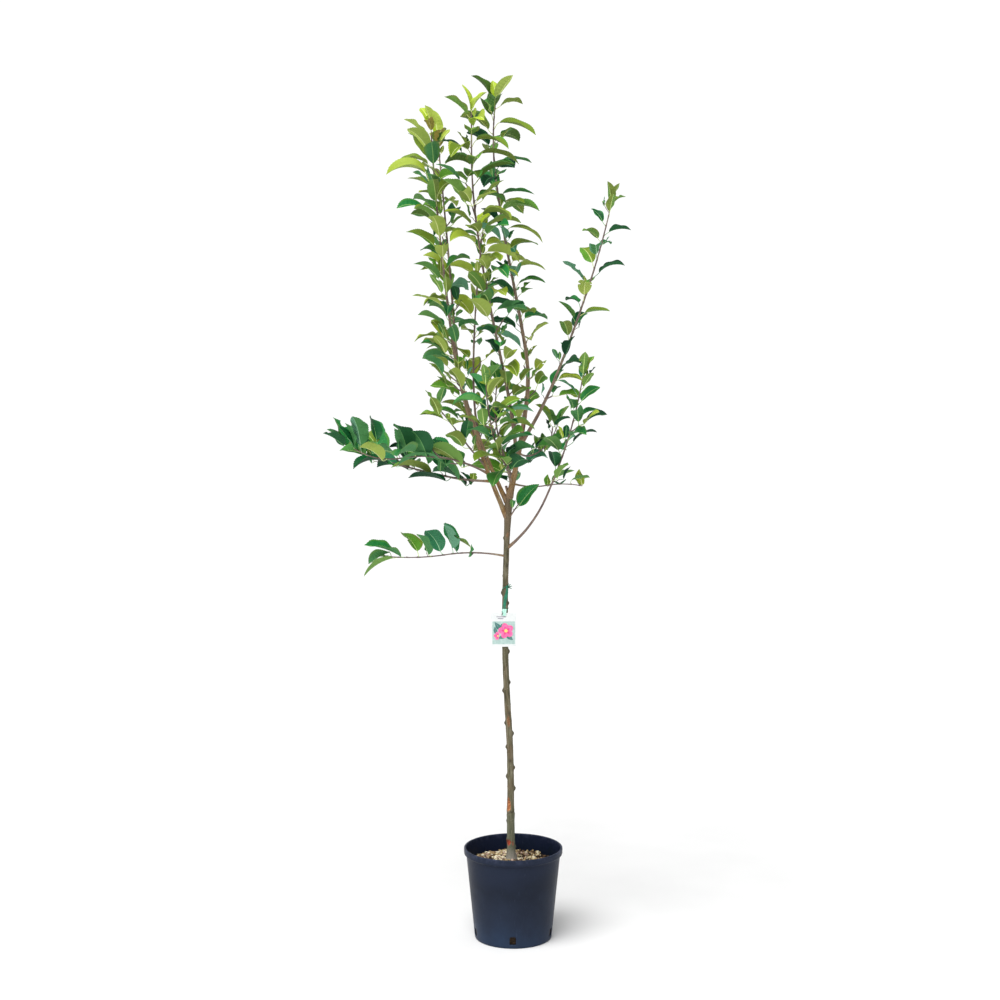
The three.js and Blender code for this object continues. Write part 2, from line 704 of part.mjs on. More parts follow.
function labelFront(trunk) {
  const middle = trunk.along(LABEL_TIE.from).point;
  return { x: middle.x, y: middle.y - LABEL_TIE.outerRadius, z: middle.z };
}

// The tie is wound round the trunk, and its strap hangs down over the front of the card.
function labelTie(trunk, trunkAround) {
  const { from, to, outerRadius, waist, rings, sides } = LABEL_TIE;
  const rows = Array.from({ length: rings }, (_, i) => {
    const { point } = trunk.along(mix(from, to, i / (rings - 1)));
    return ringOf(point, LEVEL, outerRadius - waist * (i % 2), sides);
  });
  const front = labelFront(trunk);
  const strap = new THREE.BoxGeometry(STRAP.width, STRAP.thickness, STRAP.drop);
  const middle = front.z + STRAP.aboveTieFoot - STRAP.drop / 2;
  strap.translate(front.x, front.y + STRAP.stand + STRAP.thickness / 2, middle);
  return mainBody(loft(rows).subtract(trunkAround).add(solidOfGeometry(strap)));
}

function labelCard(trunk) {
  const { width, height, thickness, corner } = LABEL_CARD;
  const half = width / 2;
  const outline = new THREE.Shape();
  outline.moveTo(corner - half, -height);
  outline.lineTo(half - corner, -height);
  outline.lineTo(half, corner - height);
  outline.lineTo(half, -corner);
  outline.lineTo(half - corner, 0);
  outline.lineTo(corner - half, 0);
  outline.lineTo(-half, -corner);
  outline.lineTo(-half, corner - height);
  const card = new THREE.ExtrudeGeometry(outline, { depth: thickness, bevelEnabled: false });
  const front = labelFront(trunk);
  const back = front.y + STRAP.stand + STRAP.thickness + GAP + thickness;
  card.rotateX(Math.PI / 2);
  card.translate(front.x + LABEL_CARD.offset, back, front.z - LABEL_CARD.belowTieFoot);
  return solidOfGeometry(card);
}

// ---------------------------------------------------------------- assembly

const tree = new THREE.Group();

function addMesh(name, made, color, roughness) {
  const material = new THREE.MeshStandardMaterial({ color, roughness, metalness: 0 });
  const mesh = new THREE.Mesh(geometryOf(made), material);
  mesh.name = name;
  tree.add(mesh);
}

function leafColour(shoot) {
  if (shoot.habit === "leader") return COLOURS.leafHigh;
  return shoot.habit === "arch" ? COLOURS.leafMiddle : COLOURS.leafLow;
}

const trunk = new Trunk(TRUNK, new THREE.Vector3(...TRUNK.foot));
trunk.leafy = [];
trunk.wood = trunk.samples(0, trunk.length, SAMPLES.wood);
const limbs = [trunk];
for (const spec of SHOOTS) {
  const parent = limbs.find((limb) => limb.name === spec.parent);
  const shoot = new Limb(spec, parent.along(spec.at).point);
  shoot.leafy = shoot.samples(shoot.bare, shoot.length, SAMPLES.leafy);
  shoot.wood = shoot.samples(0, shoot.bare - SAMPLES.woodStop, SAMPLES.wood);
  limbs.push(shoot);
}
const shoots = limbs.slice(1);

const trunkAround = trunk.body(GAP);
addMesh("pot", potSolid(), COLOURS.pot, 0.45);
addMesh("soil", soilSolid(), COLOURS.soil, 0.95);
addMesh("trunk", trunk.body(), COLOURS.bark, 0.85);
addMesh("label_tie", labelTie(trunk, trunkAround), COLOURS.tie, 0.5);
addMesh("label_card", labelCard(trunk), COLOURS.card, 0.5);

const woodBefore = [trunkAround];
for (const shoot of shoots) {
  addMesh("bough_" + shoot.name, boughSolid(shoot, woodBefore), COLOURS.bough, 0.8);
  woodBefore.push(shoot.stretch(0, shoot.bare, BOUGH, GAP), stemSolid(shoot, GAP));
}
for (const shoot of shoots) {
  addMesh("leaves_" + shoot.name, massSolid(shoot, limbs), leafColour(shoot), 0.6);
}

export default tree;
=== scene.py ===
"""A young dwarf apple tree in a nursery pot: its surfaces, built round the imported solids.

The frame is the solids' own: +Z is up, -Y is the front and the origin is the centre of the pot's
underside. Sizes are in millimetres until a mesh is made. The limbs, the twigs and the leaves follow the
rule of the solids' source, written here again and carried on to finer twigs.
"""

import json
from math import cos, hypot, pi, radians, sin, sqrt
from types import SimpleNamespace as Values

import bpy
import numpy as np
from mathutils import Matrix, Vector

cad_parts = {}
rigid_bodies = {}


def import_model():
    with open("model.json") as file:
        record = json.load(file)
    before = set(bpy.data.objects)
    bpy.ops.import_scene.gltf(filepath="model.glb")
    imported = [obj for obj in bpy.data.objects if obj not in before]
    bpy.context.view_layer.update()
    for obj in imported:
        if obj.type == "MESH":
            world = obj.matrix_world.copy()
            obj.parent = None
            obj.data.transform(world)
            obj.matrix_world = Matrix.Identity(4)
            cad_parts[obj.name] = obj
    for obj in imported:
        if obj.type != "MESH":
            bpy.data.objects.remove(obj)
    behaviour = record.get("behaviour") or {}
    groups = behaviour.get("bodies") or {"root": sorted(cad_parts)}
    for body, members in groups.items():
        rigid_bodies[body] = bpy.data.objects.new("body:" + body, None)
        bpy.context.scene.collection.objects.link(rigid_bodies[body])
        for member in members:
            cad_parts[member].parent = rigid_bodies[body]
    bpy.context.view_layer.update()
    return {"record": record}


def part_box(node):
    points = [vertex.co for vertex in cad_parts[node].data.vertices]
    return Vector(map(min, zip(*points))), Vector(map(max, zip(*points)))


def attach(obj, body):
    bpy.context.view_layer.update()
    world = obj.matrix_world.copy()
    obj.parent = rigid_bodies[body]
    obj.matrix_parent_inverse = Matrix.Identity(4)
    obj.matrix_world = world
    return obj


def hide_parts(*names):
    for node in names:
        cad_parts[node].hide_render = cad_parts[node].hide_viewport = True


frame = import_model()

MM = 0.001

# ---------------------------------------------------------------- the solids' dimensions

POT = Values(height=278.5, rim_radius=150, wall_radius=143, base_radius=117, base_round=4, thickness=2.5,
             floor=4, lip_height=20, lip_width=6)
SLOTS = Values(count=5, width=19, height=24, corner=5, foot_corner=1.5, sill=13, first_bearing=-91)
SOIL = Values(foot_level=236.7, foot_radius=32, shoulder_level=234, shoulder_radius=77, edge_level=229)
TRUNK = Values(
    name="trunk", foot=(-6, 0, 237), length=1110,
    aims=[(-184, 1), (-194, 0), (-196, 4), (-200, 1), (-203, -2), (-215, -3)],
    foot_radius=11, top_radius=7.9, taper_length=850, taper_power=0.6, flare=7, flare_height=16,
    graft_height=147, graft_spread=14, graft_bulge=1.5, rootstock_extra=0.8,
    crotch_start=960, crotch_swell=4,
)
STUB = Values(at=20, radius=4.5, tip_radius=3.6, length=26, bearing=180, lean=14)
TIE_START = 775

# How each kind of shoot carries its leaves. size is a blade's length, wide its half-width and petiole its
# stalk, both as shares of size. rise, start, bend and spread are angles in degrees, step is the way from
# leaf to leaf, spurs the share of side twigs and fade how much smaller the leaves get towards the tip.
HABIT_COLUMNS = "size wide petiole rise lift start bend spread step first spurs fade".split()
HABITS = {
    "leader": (106, 0.28, 0.3, 40, 0.15, 32, 54, 22, 21, 8, 0.36, 0.04),
    "arch": (96, 0.28, 0.3, 38, 0.2, 36, 46, 24, 27, 12, 0.3, 0.12),
    "flat": (98, 0.3, 0.28, 30, 0.6, 38, 44, 34, 26, 10, 0.2, 0.1),
    "inner": (98, 0.29, 0.28, 34, 0.3, 26, 56, 26, 20, 8, 0.3, 0.1),
    "upright": (88, 0.3, 0.26, 24, 0.9, 58, 24, 42, 31, 12, 0.05, 0.1),
}


def spec(name, parent, at, length, bare, radius, kind, seed, aims, **change):
    """A shoot that leaves its parent at a distance along it and is bare at first. Its two radii are those
    of its foot and tip, and its aims are bearings and leans along it."""
    habit = Values(**{**dict(zip(HABIT_COLUMNS, HABITS[kind])), **change})
    return Values(name=name, parent=parent, at=at, length=length, bare=bare, radius=radius, kind=kind,
                  seed=seed, aims=aims, habit=habit)


SHOOTS = [
    spec("right", "trunk", 1098, 1208, 250, (10, 1.8), "leader", 866,
         [(19, 14), (54, 14), (-36, -12), (-4, -11), (-13, -8), (2, 7)]),
    spec("left_outer", "trunk", 1041, 1171, 190, (8, 1.8), "leader", 1415,
         [(-160, 25), (-159, 19), (-155, 8), (-173, 6), (-173, 3)]),
    spec("left_inner", "trunk", 1085, 1144, 142, (7.5, 1.8), "leader", 137,
         [(150, 30), (152, 22), (129, 6), (152, 6), (150, 6)]),
    spec("centre", "right", 126, 1030, 95, (6.5, 1.8), "leader", 241,
         [(-117, 13), (-125, 20), (-141, 14), (-147, 7), (-72, -2)]),
    spec("middle", "left_inner", 118, 772, 80, (5, 1.8), "leader", 1130,
         [(133, 40), (99, 16), (70, 9), (25, 7)], step=24),
    spec("far_right", "right", 169, 767, 150, (6.5, 1.6), "arch", 892,
         [(-12, 33), (-17, 22), (-19, 19), (-22, 13)]),
    spec("low_right", "trunk", 953, 589, 250, (4.8, 1.6), "arch", 803,
         [(-19, 52), (-30, 27), (-30, 19), (-35, 11)]),
    spec("right_twig", "right", 53, 281, 140, (3, 1.4), "upright", 2330,
         [(42, 105), (40, 85), (33, 101)], step=36, size=72, start=35),
    spec("low_left", "trunk", 930, 370, 95, (3.2, 1.4), "upright", 3270,
         [(-168, 77), (-166, 97), (-167, 83)]),
    spec("far_left", "left_outer", 128, 477, 55, (4.5, 1.5), "flat", 58,
         [(148, 93), (163, 79), (169, 76), (170, 67)], step=28),
    spec("upper_left", "left_outer", 150, 430, 60, (4, 1.5), "flat", 457,
         [(-151, 61), (-155, 78), (-167, 99), (-170, 58)]),
    spec("left_side", "left_outer", 174, 260, 75, (3.4, 1.4), "arch", 2461,
         [(-131, 53), (-145, 41), (-156, 42)]),
    spec("front", "right", 45, 424, 60, (4.5, 1.5), "inner", 335,
         [(-101, 46), (-109, 56), (-105, 40), (-100, 20)]),
    spec("back", "trunk", 1075, 480, 90, (5, 1.5), "inner", 396,
         [(62, 45), (114, 48), (109, 32), (60, 7)]),
    spec("right_inner", "right", 148, 256, 60, (3.6, 1.4), "inner", 153,
         [(67, 113), (51, 69), (52, 30)]),
    spec("trunk_spur", "trunk", 1036, 68, 34, (2.6, 1.6), "flat", 3750,
         [(-32, 32), (-29, 39)], step=200, first=10),
]

ROUTE_PARTS = 24  # straight parts in each limb's centre line
TAPER_POWER = 0.58  # the bark tapers a little sooner than the solids
STEEP = 0.6  # the share of Z above which a way counts as steep
SAMPLES = Values(wood=20, leafy=30, wood_stop=12)
TWIG_WAY = Values(out=0.8, stem=0.45, up=0.3)
SIDE_TWIG = Values(radius=2.3, length=(18, 46), turns=(-1.5, 0, 1.5), spread=0.3, youth=(0.78, 1),
                   crowding=0.14, tries=6)
# The finer twigs, which only this file grows: shorter, thinner, with smaller leaves, in the same space.
FINE_TWIG = Values(radius=1.15, length=(8, 26), turns=(-0.8, 0.9), spread=0, youth=(0.28, 0.5),
                   crowding=0.13, tries=4, seed_step=5003, step=4.2, start=0.5)
VARIATION = Values(rise=(-12, 12), size=(0.82, 1.12), stalk=(0.8, 1.15), bend=(-22, 26), roll=(-32, 32),
                   width=(0.88, 1.12), fold=(14, 38))
LEAST_BEND = 12
YOUTH = Values(tip=0.7, reach=90, steeper=60, spring=0.1)
TIP_LEAVES = Values(back=2, turns=(0, 2.4), youth=0.72, habit=dict(rise=78, start=62, bend=30, petiole=0.1))
LAST_LEAF = 3
LEAF_TURN = radians(144)
TURN_SPREAD = 0.45
NEXT_TRY = 0.9
STEP_SPREAD = (0.75, 1.25)
RIB_SHARES = (0.15, 0.5, 0.85)
EDGE_SHARES = (0.35, 0.72)
WOOD_CLEARANCE = 16
SPACE_MARGIN = 5
BLADE = Values(base_power=0.6, tip_power=0.9, peak=0.3642)

# ---------------------------------------------------------------- small helpers

UP = Vector((0, 0, 1))
AWAY = Vector((0, 1, 0))


def mix(low, high, share):
    return low + (high - low) * share


def smoothstep(value, low, high):
    share = np.clip((value - low) / (high - low), 0, 1)
    return share * share * (3 - 2 * share)


def dice(seed):
    """A repeatable stream of numbers (the Park and Miller generator)."""
    state = seed * 9973 + 12345

    def draw(low=0.0, high=1.0):
        nonlocal state
        state = state * 48271 % 2147483647
        return low + (high - low) * state / 2147483647

    for _ in range(3):
        draw()
    return draw


def aim(bearing, lean):
    bearing, lean = radians(bearing), radians(lean)
    return Vector((sin(lean) * cos(bearing), sin(lean) * sin(bearing), cos(lean)))


def beside(way):
    """A direction that is never close to the way."""
    return AWAY if abs(way[2]) > STEEP else UP


def unit(vectors):
    return vectors / np.linalg.norm(vectors, axis=-1, keepdims=True)


def ways_along(points):
    return unit(np.gradient(points, axis=0))


def circle(count):
    """Even angles all round."""
    return 2 * np.pi * np.arange(count) / count


def polar(radius, angle, height):
    """Points round Z."""
    return np.stack(np.broadcast_arrays(radius * np.cos(angle), radius * np.sin(angle), height), -1)


def turned(x, y, angle):
    return x * cos(angle) - y * sin(angle), x * sin(angle) + y * cos(angle)


LATTICE = np.random.default_rng(20).random((32, 32, 32))


def lattice_noise(points):
    """Smooth noise from -1 to 1 at an array of points, one lattice cell to a unit."""
    cell = np.floor(points).astype(int)
    part = smoothstep(points - cell, 0, 1)
    total = 0
    for corner in np.ndindex(2, 2, 2):
        weight = np.prod(np.where(corner, part, 1 - part), axis=-1)
        total = total + weight * LATTICE[tuple(np.moveaxis((cell + corner) % 32, -1, 0))]
    return 2 * total - 1


def rough(points, octaves=3):
    """Noise with finer and finer detail."""
    return sum(lattice_noise(points * 2**k + 7.3 * k) / 2**k for k in range(octaves))


# ---------------------------------------------------------------- meshes


class Shape:
    """Points and faces of one piece, gathered part by part. A face has four corners, the last of them -1
    on a triangle, and the place of its material in the piece's list. Edges inside a margin are sharp."""

    def __init__(self):
        self.parts, self.fields, self.count = [], {}, 0

    def add(self, points, corners, places=0, margin=False, **fields):
        points = np.reshape(points, (-1, 3))
        corners = np.where(corners < 0, -1, corners + self.count)
        places = np.broadcast_to(places, len(corners))
        self.parts.append((points, corners, places, np.broadcast_to(margin, len(points))))
        for name, values in fields.items():
            self.fields.setdefault(name, []).append(values)
        self.count += len(points)

    def mesh(self, name):
        points, corners, places, margin = (np.concatenate(part) for part in zip(*self.parts))
        sizes = np.where(corners[:, 3] < 0, 3, 4)
        mesh = bpy.data.meshes.new(name)
        mesh.vertices.add(self.count)
        mesh.loops.add(int(sizes.sum()))
        mesh.polygons.add(len(corners))
        mesh.vertices.foreach_set("co", (points * MM).astype(np.float32).ravel())
        mesh.loops.foreach_set("vertex_index", corners[corners >= 0].astype(np.int32))
        mesh.polygons.foreach_set("loop_start", (np.cumsum(sizes) - sizes).astype(np.int32))
        mesh.polygons.foreach_set("material_index", places.astype(np.int32))
        mesh.update(calc_edges=True)
        mesh.shade_smooth()
        if margin.any():
            ends = np.empty(2 * len(mesh.edges), np.int32)
            mesh.edges.foreach_get("vertices", ends)
            sharp = margin[ends.reshape(-1, 2)].all(1)
            mesh.attributes.new("sharp_edge", "BOOLEAN", "EDGE").data.foreach_set("value", sharp)
        for field, values in self.fields.items():
            values = np.concatenate(values).astype(np.float32)
            kind, key = ("FLOAT_VECTOR", "vector") if values.ndim == 2 else ("FLOAT", "value")
            mesh.attributes.new(field, kind, "POINT").data.foreach_set(key, values.ravel())
        mesh.validate()
        return mesh


def add_object(name, data):
    made = bpy.data.objects.new(name, data)
    bpy.context.scene.collection.objects.link(made)
    return made


def add_piece(name, shape, materials, nodes, slot):
    """Makes the object, rides it on the body and lets it stand for the named CAD nodes. The pot comes as a
    finished mesh, and all else as a Shape."""
    piece = add_object(name, shape.mesh(name) if isinstance(shape, Shape) else shape)
    for material in materials:
        piece.data.materials.append(material)
    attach(piece, "root")
    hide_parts(*nodes)


def quads(numbers):
    """Faces between rows of numbered points."""
    corners = numbers[:-1, :-1], numbers[:-1, 1:], numbers[1:, 1:], numbers[1:, :-1]
    return np.stack(corners, -1).reshape(-1, 4)


def tube_corners(rows, columns):
    """The faces of a closed tube: quads between rows of points, then a fan at each end round a point that
    comes after all rows. Each row runs round the outside, seen against the way of the rows."""
    numbers = np.arange(rows * columns).reshape(rows, columns)
    numbers = np.hstack([numbers, numbers[:, :1]])
    foot = np.broadcast_arrays(numbers[0, 1:], numbers[0, :-1], rows * columns, -1)
    top = np.broadcast_arrays(numbers[-1, :-1], numbers[-1, 1:], rows * columns + 1, -1)
    return np.concatenate([quads(numbers), np.stack(foot, -1), np.stack(top, -1)])


def add_rings(shape, rings, ends, places=0, margin=False, **fields):
    """A closed tube through rings of points, with a fan at each end. The margin and the fields have a value
    for each point, and both ends take the field's nearest."""
    rows, columns = rings.shape[:2]
    for name, values in fields.items():
        values = np.broadcast_to(values, (rows, columns) + np.shape(values)[2:])
        values = values.reshape(rows * columns, *values.shape[2:])
        fields[name] = np.concatenate([values, values[:1], values[-1:]])
    margin = np.append(np.broadcast_to(margin, (rows, columns)), [False, False])
    points = np.concatenate([rings.reshape(-1, 3), ends])
    shape.add(points, tube_corners(rows, columns), places, margin, **fields)


def add_tube(shape, centres, ways, reference, radii, place=0, **fields):
    """A closed tube of radii (rows, sides) round the centres. Its sides are counted from the direction that
    is square to the ways and to the reference."""
    across = unit(np.cross(reference, ways))
    over = np.cross(ways, across)
    turn = circle(radii.shape[1])[:, None]
    ring = np.cos(turn) * across[..., None, :] + np.sin(turn) * over[..., None, :]
    add_rings(shape, centres[:, None] + radii[..., None] * ring, centres[[0, -1]], place, **fields)


def even(radii, sides):
    """The radii of a tube that is round all along."""
    return np.repeat(np.reshape(radii, (-1, 1)), sides, 1)


# ---------------------------------------------------------------- limbs


class Limb:
    """A limb whose centre line is a chain of short straight parts."""

    def __init__(self, spec, start):
        self.__dict__.update(vars(spec))
        self.stride = self.length / ROUTE_PARTS
        self.path = [start]
        for i in range(ROUTE_PARTS):
            place = (i + 0.5) / ROUTE_PARTS * (len(self.aims) - 1)
            station = int(place)
            ends = zip(*self.aims[station : station + 2])
            way = aim(*(mix(here, after, place - station) for here, after in ends))
            self.path.append(self.path[i] + way * self.stride)
        self.beside = beside((self.path[-1] - start).normalized())

    def along(self, distance):
        """The point and the direction at a distance along the centre line."""
        part = min(max(int(distance / self.stride), 0), ROUTE_PARTS - 1)
        way = (self.path[part + 1] - self.path[part]).normalized()
        return self.path[part] + way * (distance - part * self.stride), way

    def samples(self, start, end, step):
        count = max(1, int((end - start) / step + 0.5))
        return [self.along(mix(start, end, i / count))[0] for i in range(count + 1)]

    def line(self, distances):
        """Points and directions of the smooth centre line through the path's corners."""
        path = np.array(self.path)
        path = np.concatenate([[2 * path[0] - path[1]], path, [2 * path[-1] - path[-2]]])
        part = np.clip((distances / self.stride).astype(int), 0, ROUTE_PARTS - 1)
        t = (distances / self.stride - part)[:, None]
        a, b, c, d = (path[part + k] for k in range(4))
        one, two, three = c - a, 2 * a - 5 * b + 4 * c - d, 3 * b - a - 3 * c + d
        ways = one + 2 * two * t + 3 * three * t**2
        return 0.5 * (2 * b + one * t + two * t**2 + three * t**3), unit(ways)


class Trunk(Limb):
    def __init__(self):
        super().__init__(TRUNK, Vector(TRUNK.foot))
        self.leafy = []
        self.wood = self.samples(0, self.length, SAMPLES.wood)

    def girth(self, distance):
        taper = np.clip(distance / TRUNK.taper_length, 0, 1) ** TRUNK.taper_power
        graft = TRUNK.graft_bulge * np.exp(-(((distance - TRUNK.graft_height) / TRUNK.graft_spread) ** 2))
        rootstock = TRUNK.rootstock_extra * (distance < TRUNK.graft_height)
        flare = TRUNK.flare * np.exp(-distance / TRUNK.flare_height)
        crotch = TRUNK.crotch_swell * smoothstep(distance, TRUNK.crotch_start, TRUNK.length)
        return mix(TRUNK.foot_radius, TRUNK.top_radius, taper) + graft + rootstock + flare + crotch


# ---------------------------------------------------------------- the growth rule


class Leaf:
    """A leaf is a stalk from its base and a blade whose rib is an arc in an upright plane."""

    at = None  # how far along its shoot, if it grows straight from it
    young = False  # whether it is one of the two at the tip

    def __init__(self, base, stem, out, draw, youth, habit):
        rise = radians(habit.rise + draw(*VARIATION.rise))
        way = out * cos(rise) + stem * sin(rise) + UP * habit.lift
        self.base, self.way = base, way.normalized()
        self.size = habit.size * draw(*VARIATION.size) * youth
        stalk = habit.petiole * self.size * draw(*VARIATION.stalk)
        self.heading = Vector((self.way.x, self.way.y, 0)).normalized()
        steeper = (1 - youth) * YOUTH.steeper
        self.start = radians(habit.start + habit.spread * draw(-1, 1) + steeper)
        full_bend = (habit.bend + draw(*VARIATION.bend)) * min(1, youth + YOUTH.spring)
        self.bend = radians(max(LEAST_BEND, full_bend))
        self.roll = radians(draw(*VARIATION.roll))
        self.half_width = self.size * habit.wide * draw(*VARIATION.width)
        self.fold = radians(draw(*VARIATION.fold))
        self.shade = draw()
        self.foot = base + self.way * stalk

    def rib_at(self, share):
        slope = self.start - self.bend * share
        run = (sin(self.start) - sin(slope)) / self.bend * self.size
        climb = (cos(slope) - cos(self.start)) / self.bend * self.size
        point = self.foot + self.heading * run + UP * climb
        flat_normal = UP * cos(slope) - self.heading * sin(slope)
        flat_side = Vector((-self.heading.y, self.heading.x, 0))
        side = flat_side * cos(self.roll) + flat_normal * sin(self.roll)
        return point, side, flat_normal * cos(self.roll) - flat_side * sin(self.roll)

    def edge_at(self, share, hand):
        point, side, normal = self.rib_at(share)
        reach = self.half_width * blade_outline(share)
        return point + side * (hand * reach * cos(self.fold)) + normal * (reach * sin(self.fold))

    def probes(self):
        edges = [self.edge_at(share, hand) for share in EDGE_SHARES for hand in (1, -1)]
        return [*edges, self.rib_at(1)[0], self.rib_at(0.5)[0], self.foot]


def blade_outline(share):
    return share**BLADE.base_power * (1 - share) ** BLADE.tip_power / BLADE.peak


def nearest(point, samples):
    return min([(sample - point).length_squared for sample in samples]) ** 0.5


class Spot:
    """A place along a shoot where leaves grow, smaller ones near the tip."""

    def __init__(self, shoot, at, bearing):
        self.at, self.bearing = at, bearing
        self.point, self.way = shoot.along(at)
        self.across = shoot.beside.cross(self.way).normalized()
        self.over = self.way.cross(self.across)
        self.age = (at - shoot.bare) / (shoot.length - shoot.bare)
        grown = min(1, mix(YOUTH.tip, 1, (shoot.length - at) / YOUTH.reach))
        self.youth = grown * (1 - shoot.habit.fade * self.age)

    def out(self, turn):
        return self.across * cos(turn) + self.over * sin(turn)


class Shoot(Limb):
    """A limb that carries side twigs and leaves."""

    def __init__(self, spec, parent):
        super().__init__(spec, parent.along(spec.at)[0])
        self.parent = parent
        self.leafy = self.samples(self.bare, self.length, SAMPLES.leafy)
        self.wood = self.samples(0, self.bare - SAMPLES.wood_stop, SAMPLES.wood)
        self.leaves, self.fine_leaves, self.twigs = [], [], []

    def girth(self, distance):
        return mix(*self.radius, np.clip(distance / self.length, 0, 1) ** TAPER_POWER)

    def allows(self, leaf, placed, crowding=SIDE_TWIG.crowding):
        """Whether a leaf stays in its shoot's own space and off its neighbours and the bare wood."""
        leaf.rib = [leaf.rib_at(share)[0] for share in RIB_SHARES]
        for other in placed:
            room = crowding * (leaf.size + other.size)
            if any(nearest(point, other.rib) < room for point in leaf.rib):
                return False
        for probe in leaf.probes():
            reach = nearest(probe, self.leafy) + SPACE_MARGIN
            if any(nearest(probe, rival.leafy) < reach for rival in self.rivals):
                return False
            if any(nearest(probe, limb.wood) < WOOD_CLEARANCE for limb in self.limbs):
                return False
        return True

    def spots(self, draw, first, step):
        distance, bearing = self.bare + first, draw(0, 2 * pi)
        while distance < self.length - LAST_LEAF:
            yield Spot(self, distance, bearing)
            bearing += LEAF_TURN
            distance += step * draw(*STEP_SPREAD)

    def side_twig(self, spot, turn, draw, rule):
        """A side twig with leaves at its end. It grows if any of its leaves is allowed."""
        way = (spot.out(turn) * TWIG_WAY.out + spot.way * TWIG_WAY.stem + UP * TWIG_WAY.up).normalized()
        foot = spot.point + way * draw(*rule.length)
        made = []
        for leaf_turn in rule.turns:
            spread = draw(-rule.spread, rule.spread) if rule.spread else 0
            out = spot.out(turn + leaf_turn + spread)
            leaf = Leaf(foot, way, out, draw, spot.youth * draw(*rule.youth), self.habit)
            if self.allows(leaf, self.leaves + self.fine_leaves + made, rule.crowding):
                made.append(leaf)
        if made:
            self.twigs.append(Values(at=spot.at, base=spot.point, foot=foot, rule=rule))
        return made

    def grow(self, limbs):
        """The leaves and side twigs of the shoot, in the order in which they grow."""
        self.limbs = limbs
        self.rivals = [limb for limb in limbs if limb is not self and limb.leafy]
        habit, draw = self.habit, dice(self.seed)
        for spot in self.spots(draw, habit.first, habit.step):
            spur = draw() < habit.spurs * (1 - spot.age)
            for attempt in range(SIDE_TWIG.tries):
                turn = spot.bearing + draw(-TURN_SPREAD, TURN_SPREAD) + NEXT_TRY * attempt * (-1) ** attempt
                if spur:
                    made = self.side_twig(spot, turn, draw, SIDE_TWIG)
                else:
                    leaf = Leaf(spot.point, spot.way, spot.out(turn), draw, spot.youth, habit)
                    leaf.at = spot.at
                    made = [leaf] if self.allows(leaf, self.leaves) else []
                self.leaves += made
                if made:
                    break
        self.grow_tip(Spot(self, self.length - TIP_LEAVES.back, spot.bearing + LEAF_TURN), draw)
        self.grow_fine(dice(self.seed + FINE_TWIG.seed_step))

    def grow_tip(self, tip, draw):
        habit = Values(**{**vars(self.habit), **TIP_LEAVES.habit})
        for turn in TIP_LEAVES.turns:
            leaf = Leaf(tip.point, tip.way, tip.out(tip.bearing + turn), draw, TIP_LEAVES.youth, habit)
            leaf.young = True
            if self.allows(leaf, self.leaves[:-2]):
                self.leaves.append(leaf)

    def grow_fine(self, draw):
        """Finer twigs with smaller leaves, by the same rule, in the room that the first ones left."""
        rule = FINE_TWIG
        for spot in self.spots(draw, self.habit.first * rule.start, self.habit.step * rule.step):
            for attempt in range(rule.tries):
                made = self.side_twig(spot, spot.bearing + NEXT_TRY * attempt * (-1) ** attempt, draw, rule)
                self.fine_leaves += made
                if made:
                    break


def grow_tree():
    limbs = {"trunk": Trunk()}
    for spec in SHOOTS:
        limbs[spec.name] = Shoot(spec, limbs[spec.parent])
    trunk, *shoots = limbs.values()
    for shoot in shoots:
        shoot.grow([trunk, *shoots])
    return trunk, shoots


# ---------------------------------------------------------------- leaf meshes

LEAF = Values(
    stations=36, fine_stations=22, columns=(-1, -0.72, -0.4, 0, 0, 0.4, 0.72, 1), thickness=0.5,
    rib_half=1.5, rib_tip=0.35, rib_depth=1.1, groove=0.3, widest_rib=0.45, cup=0.85, veins=8,
    vein_slant=0.22,
    quilting=1.1, quilt_reach=1.15, tooth=0.055, tooth_lean=0.5, twist=(-0.9, 0.9), waves=(1, 2.6),
    wave_depth=(0.8, 3.4), fuller=(0.4, 0.75), fuller_by=0.16, slimmer=(0.86, 1), slimmer_by=0.4,
    bitten=0.08,
)
BITE = Values(centre=(0.3, 0.8), half=(0.05, 0.13), depth=(0.35, 0.8))
STALK = Values(radius=1.05, foot=1.5, flare=9, tip=0.6, least=0.55, gain=0.45, sides=6, rows=8, overlap=2)
RIB_STRIP = 3  # the middle one of a blade's seven strips
# What the photograph adds to the rule, by kind of shoot: the angle by which leaves on the lit left rise and
# those on the right hang, the share of the blades' width, and their growth low and high in the crown.
FIT = {
    "leader": (12, 0.88, 0.85, 1.12), "arch": (6, 0.9, 0.92, 0.82), "flat": (0, 1, 1.28, 1.28),
    "inner": (6, 1, 0.98, 0.98), "upright": (0, 1, 1.22, 1.22),
}
CROWN_HEIGHTS = (1600, 2450)
# Near the tips of the low arms the leaves point on along the limb: reach of that part, angle and growth.
LOWERED = {"low_left": (120, 66, 0.4), "far_left": (70, 30, 0)}


def finish_growth(leaf, shoot):
    """Fits a leaf's rise and size to what the photograph shows for its kind of shoot."""
    to_light, slimness, low, high = FIT[shoot.kind]
    growth = mix(low, high, float(smoothstep(leaf.foot.z, *CROWN_HEIGHTS)))
    leaf.start -= radians(to_light) * leaf.heading.x
    if shoot.name in LOWERED:
        reach, angle, more = LOWERED[shoot.name]
        near = max(0, 1 - (leaf.base - shoot.path[-1]).length / reach)
        leaf.start -= radians(angle) * near
        growth *= 1 + more * near
    leaf.size *= growth
    leaf.half_width *= growth * slimness


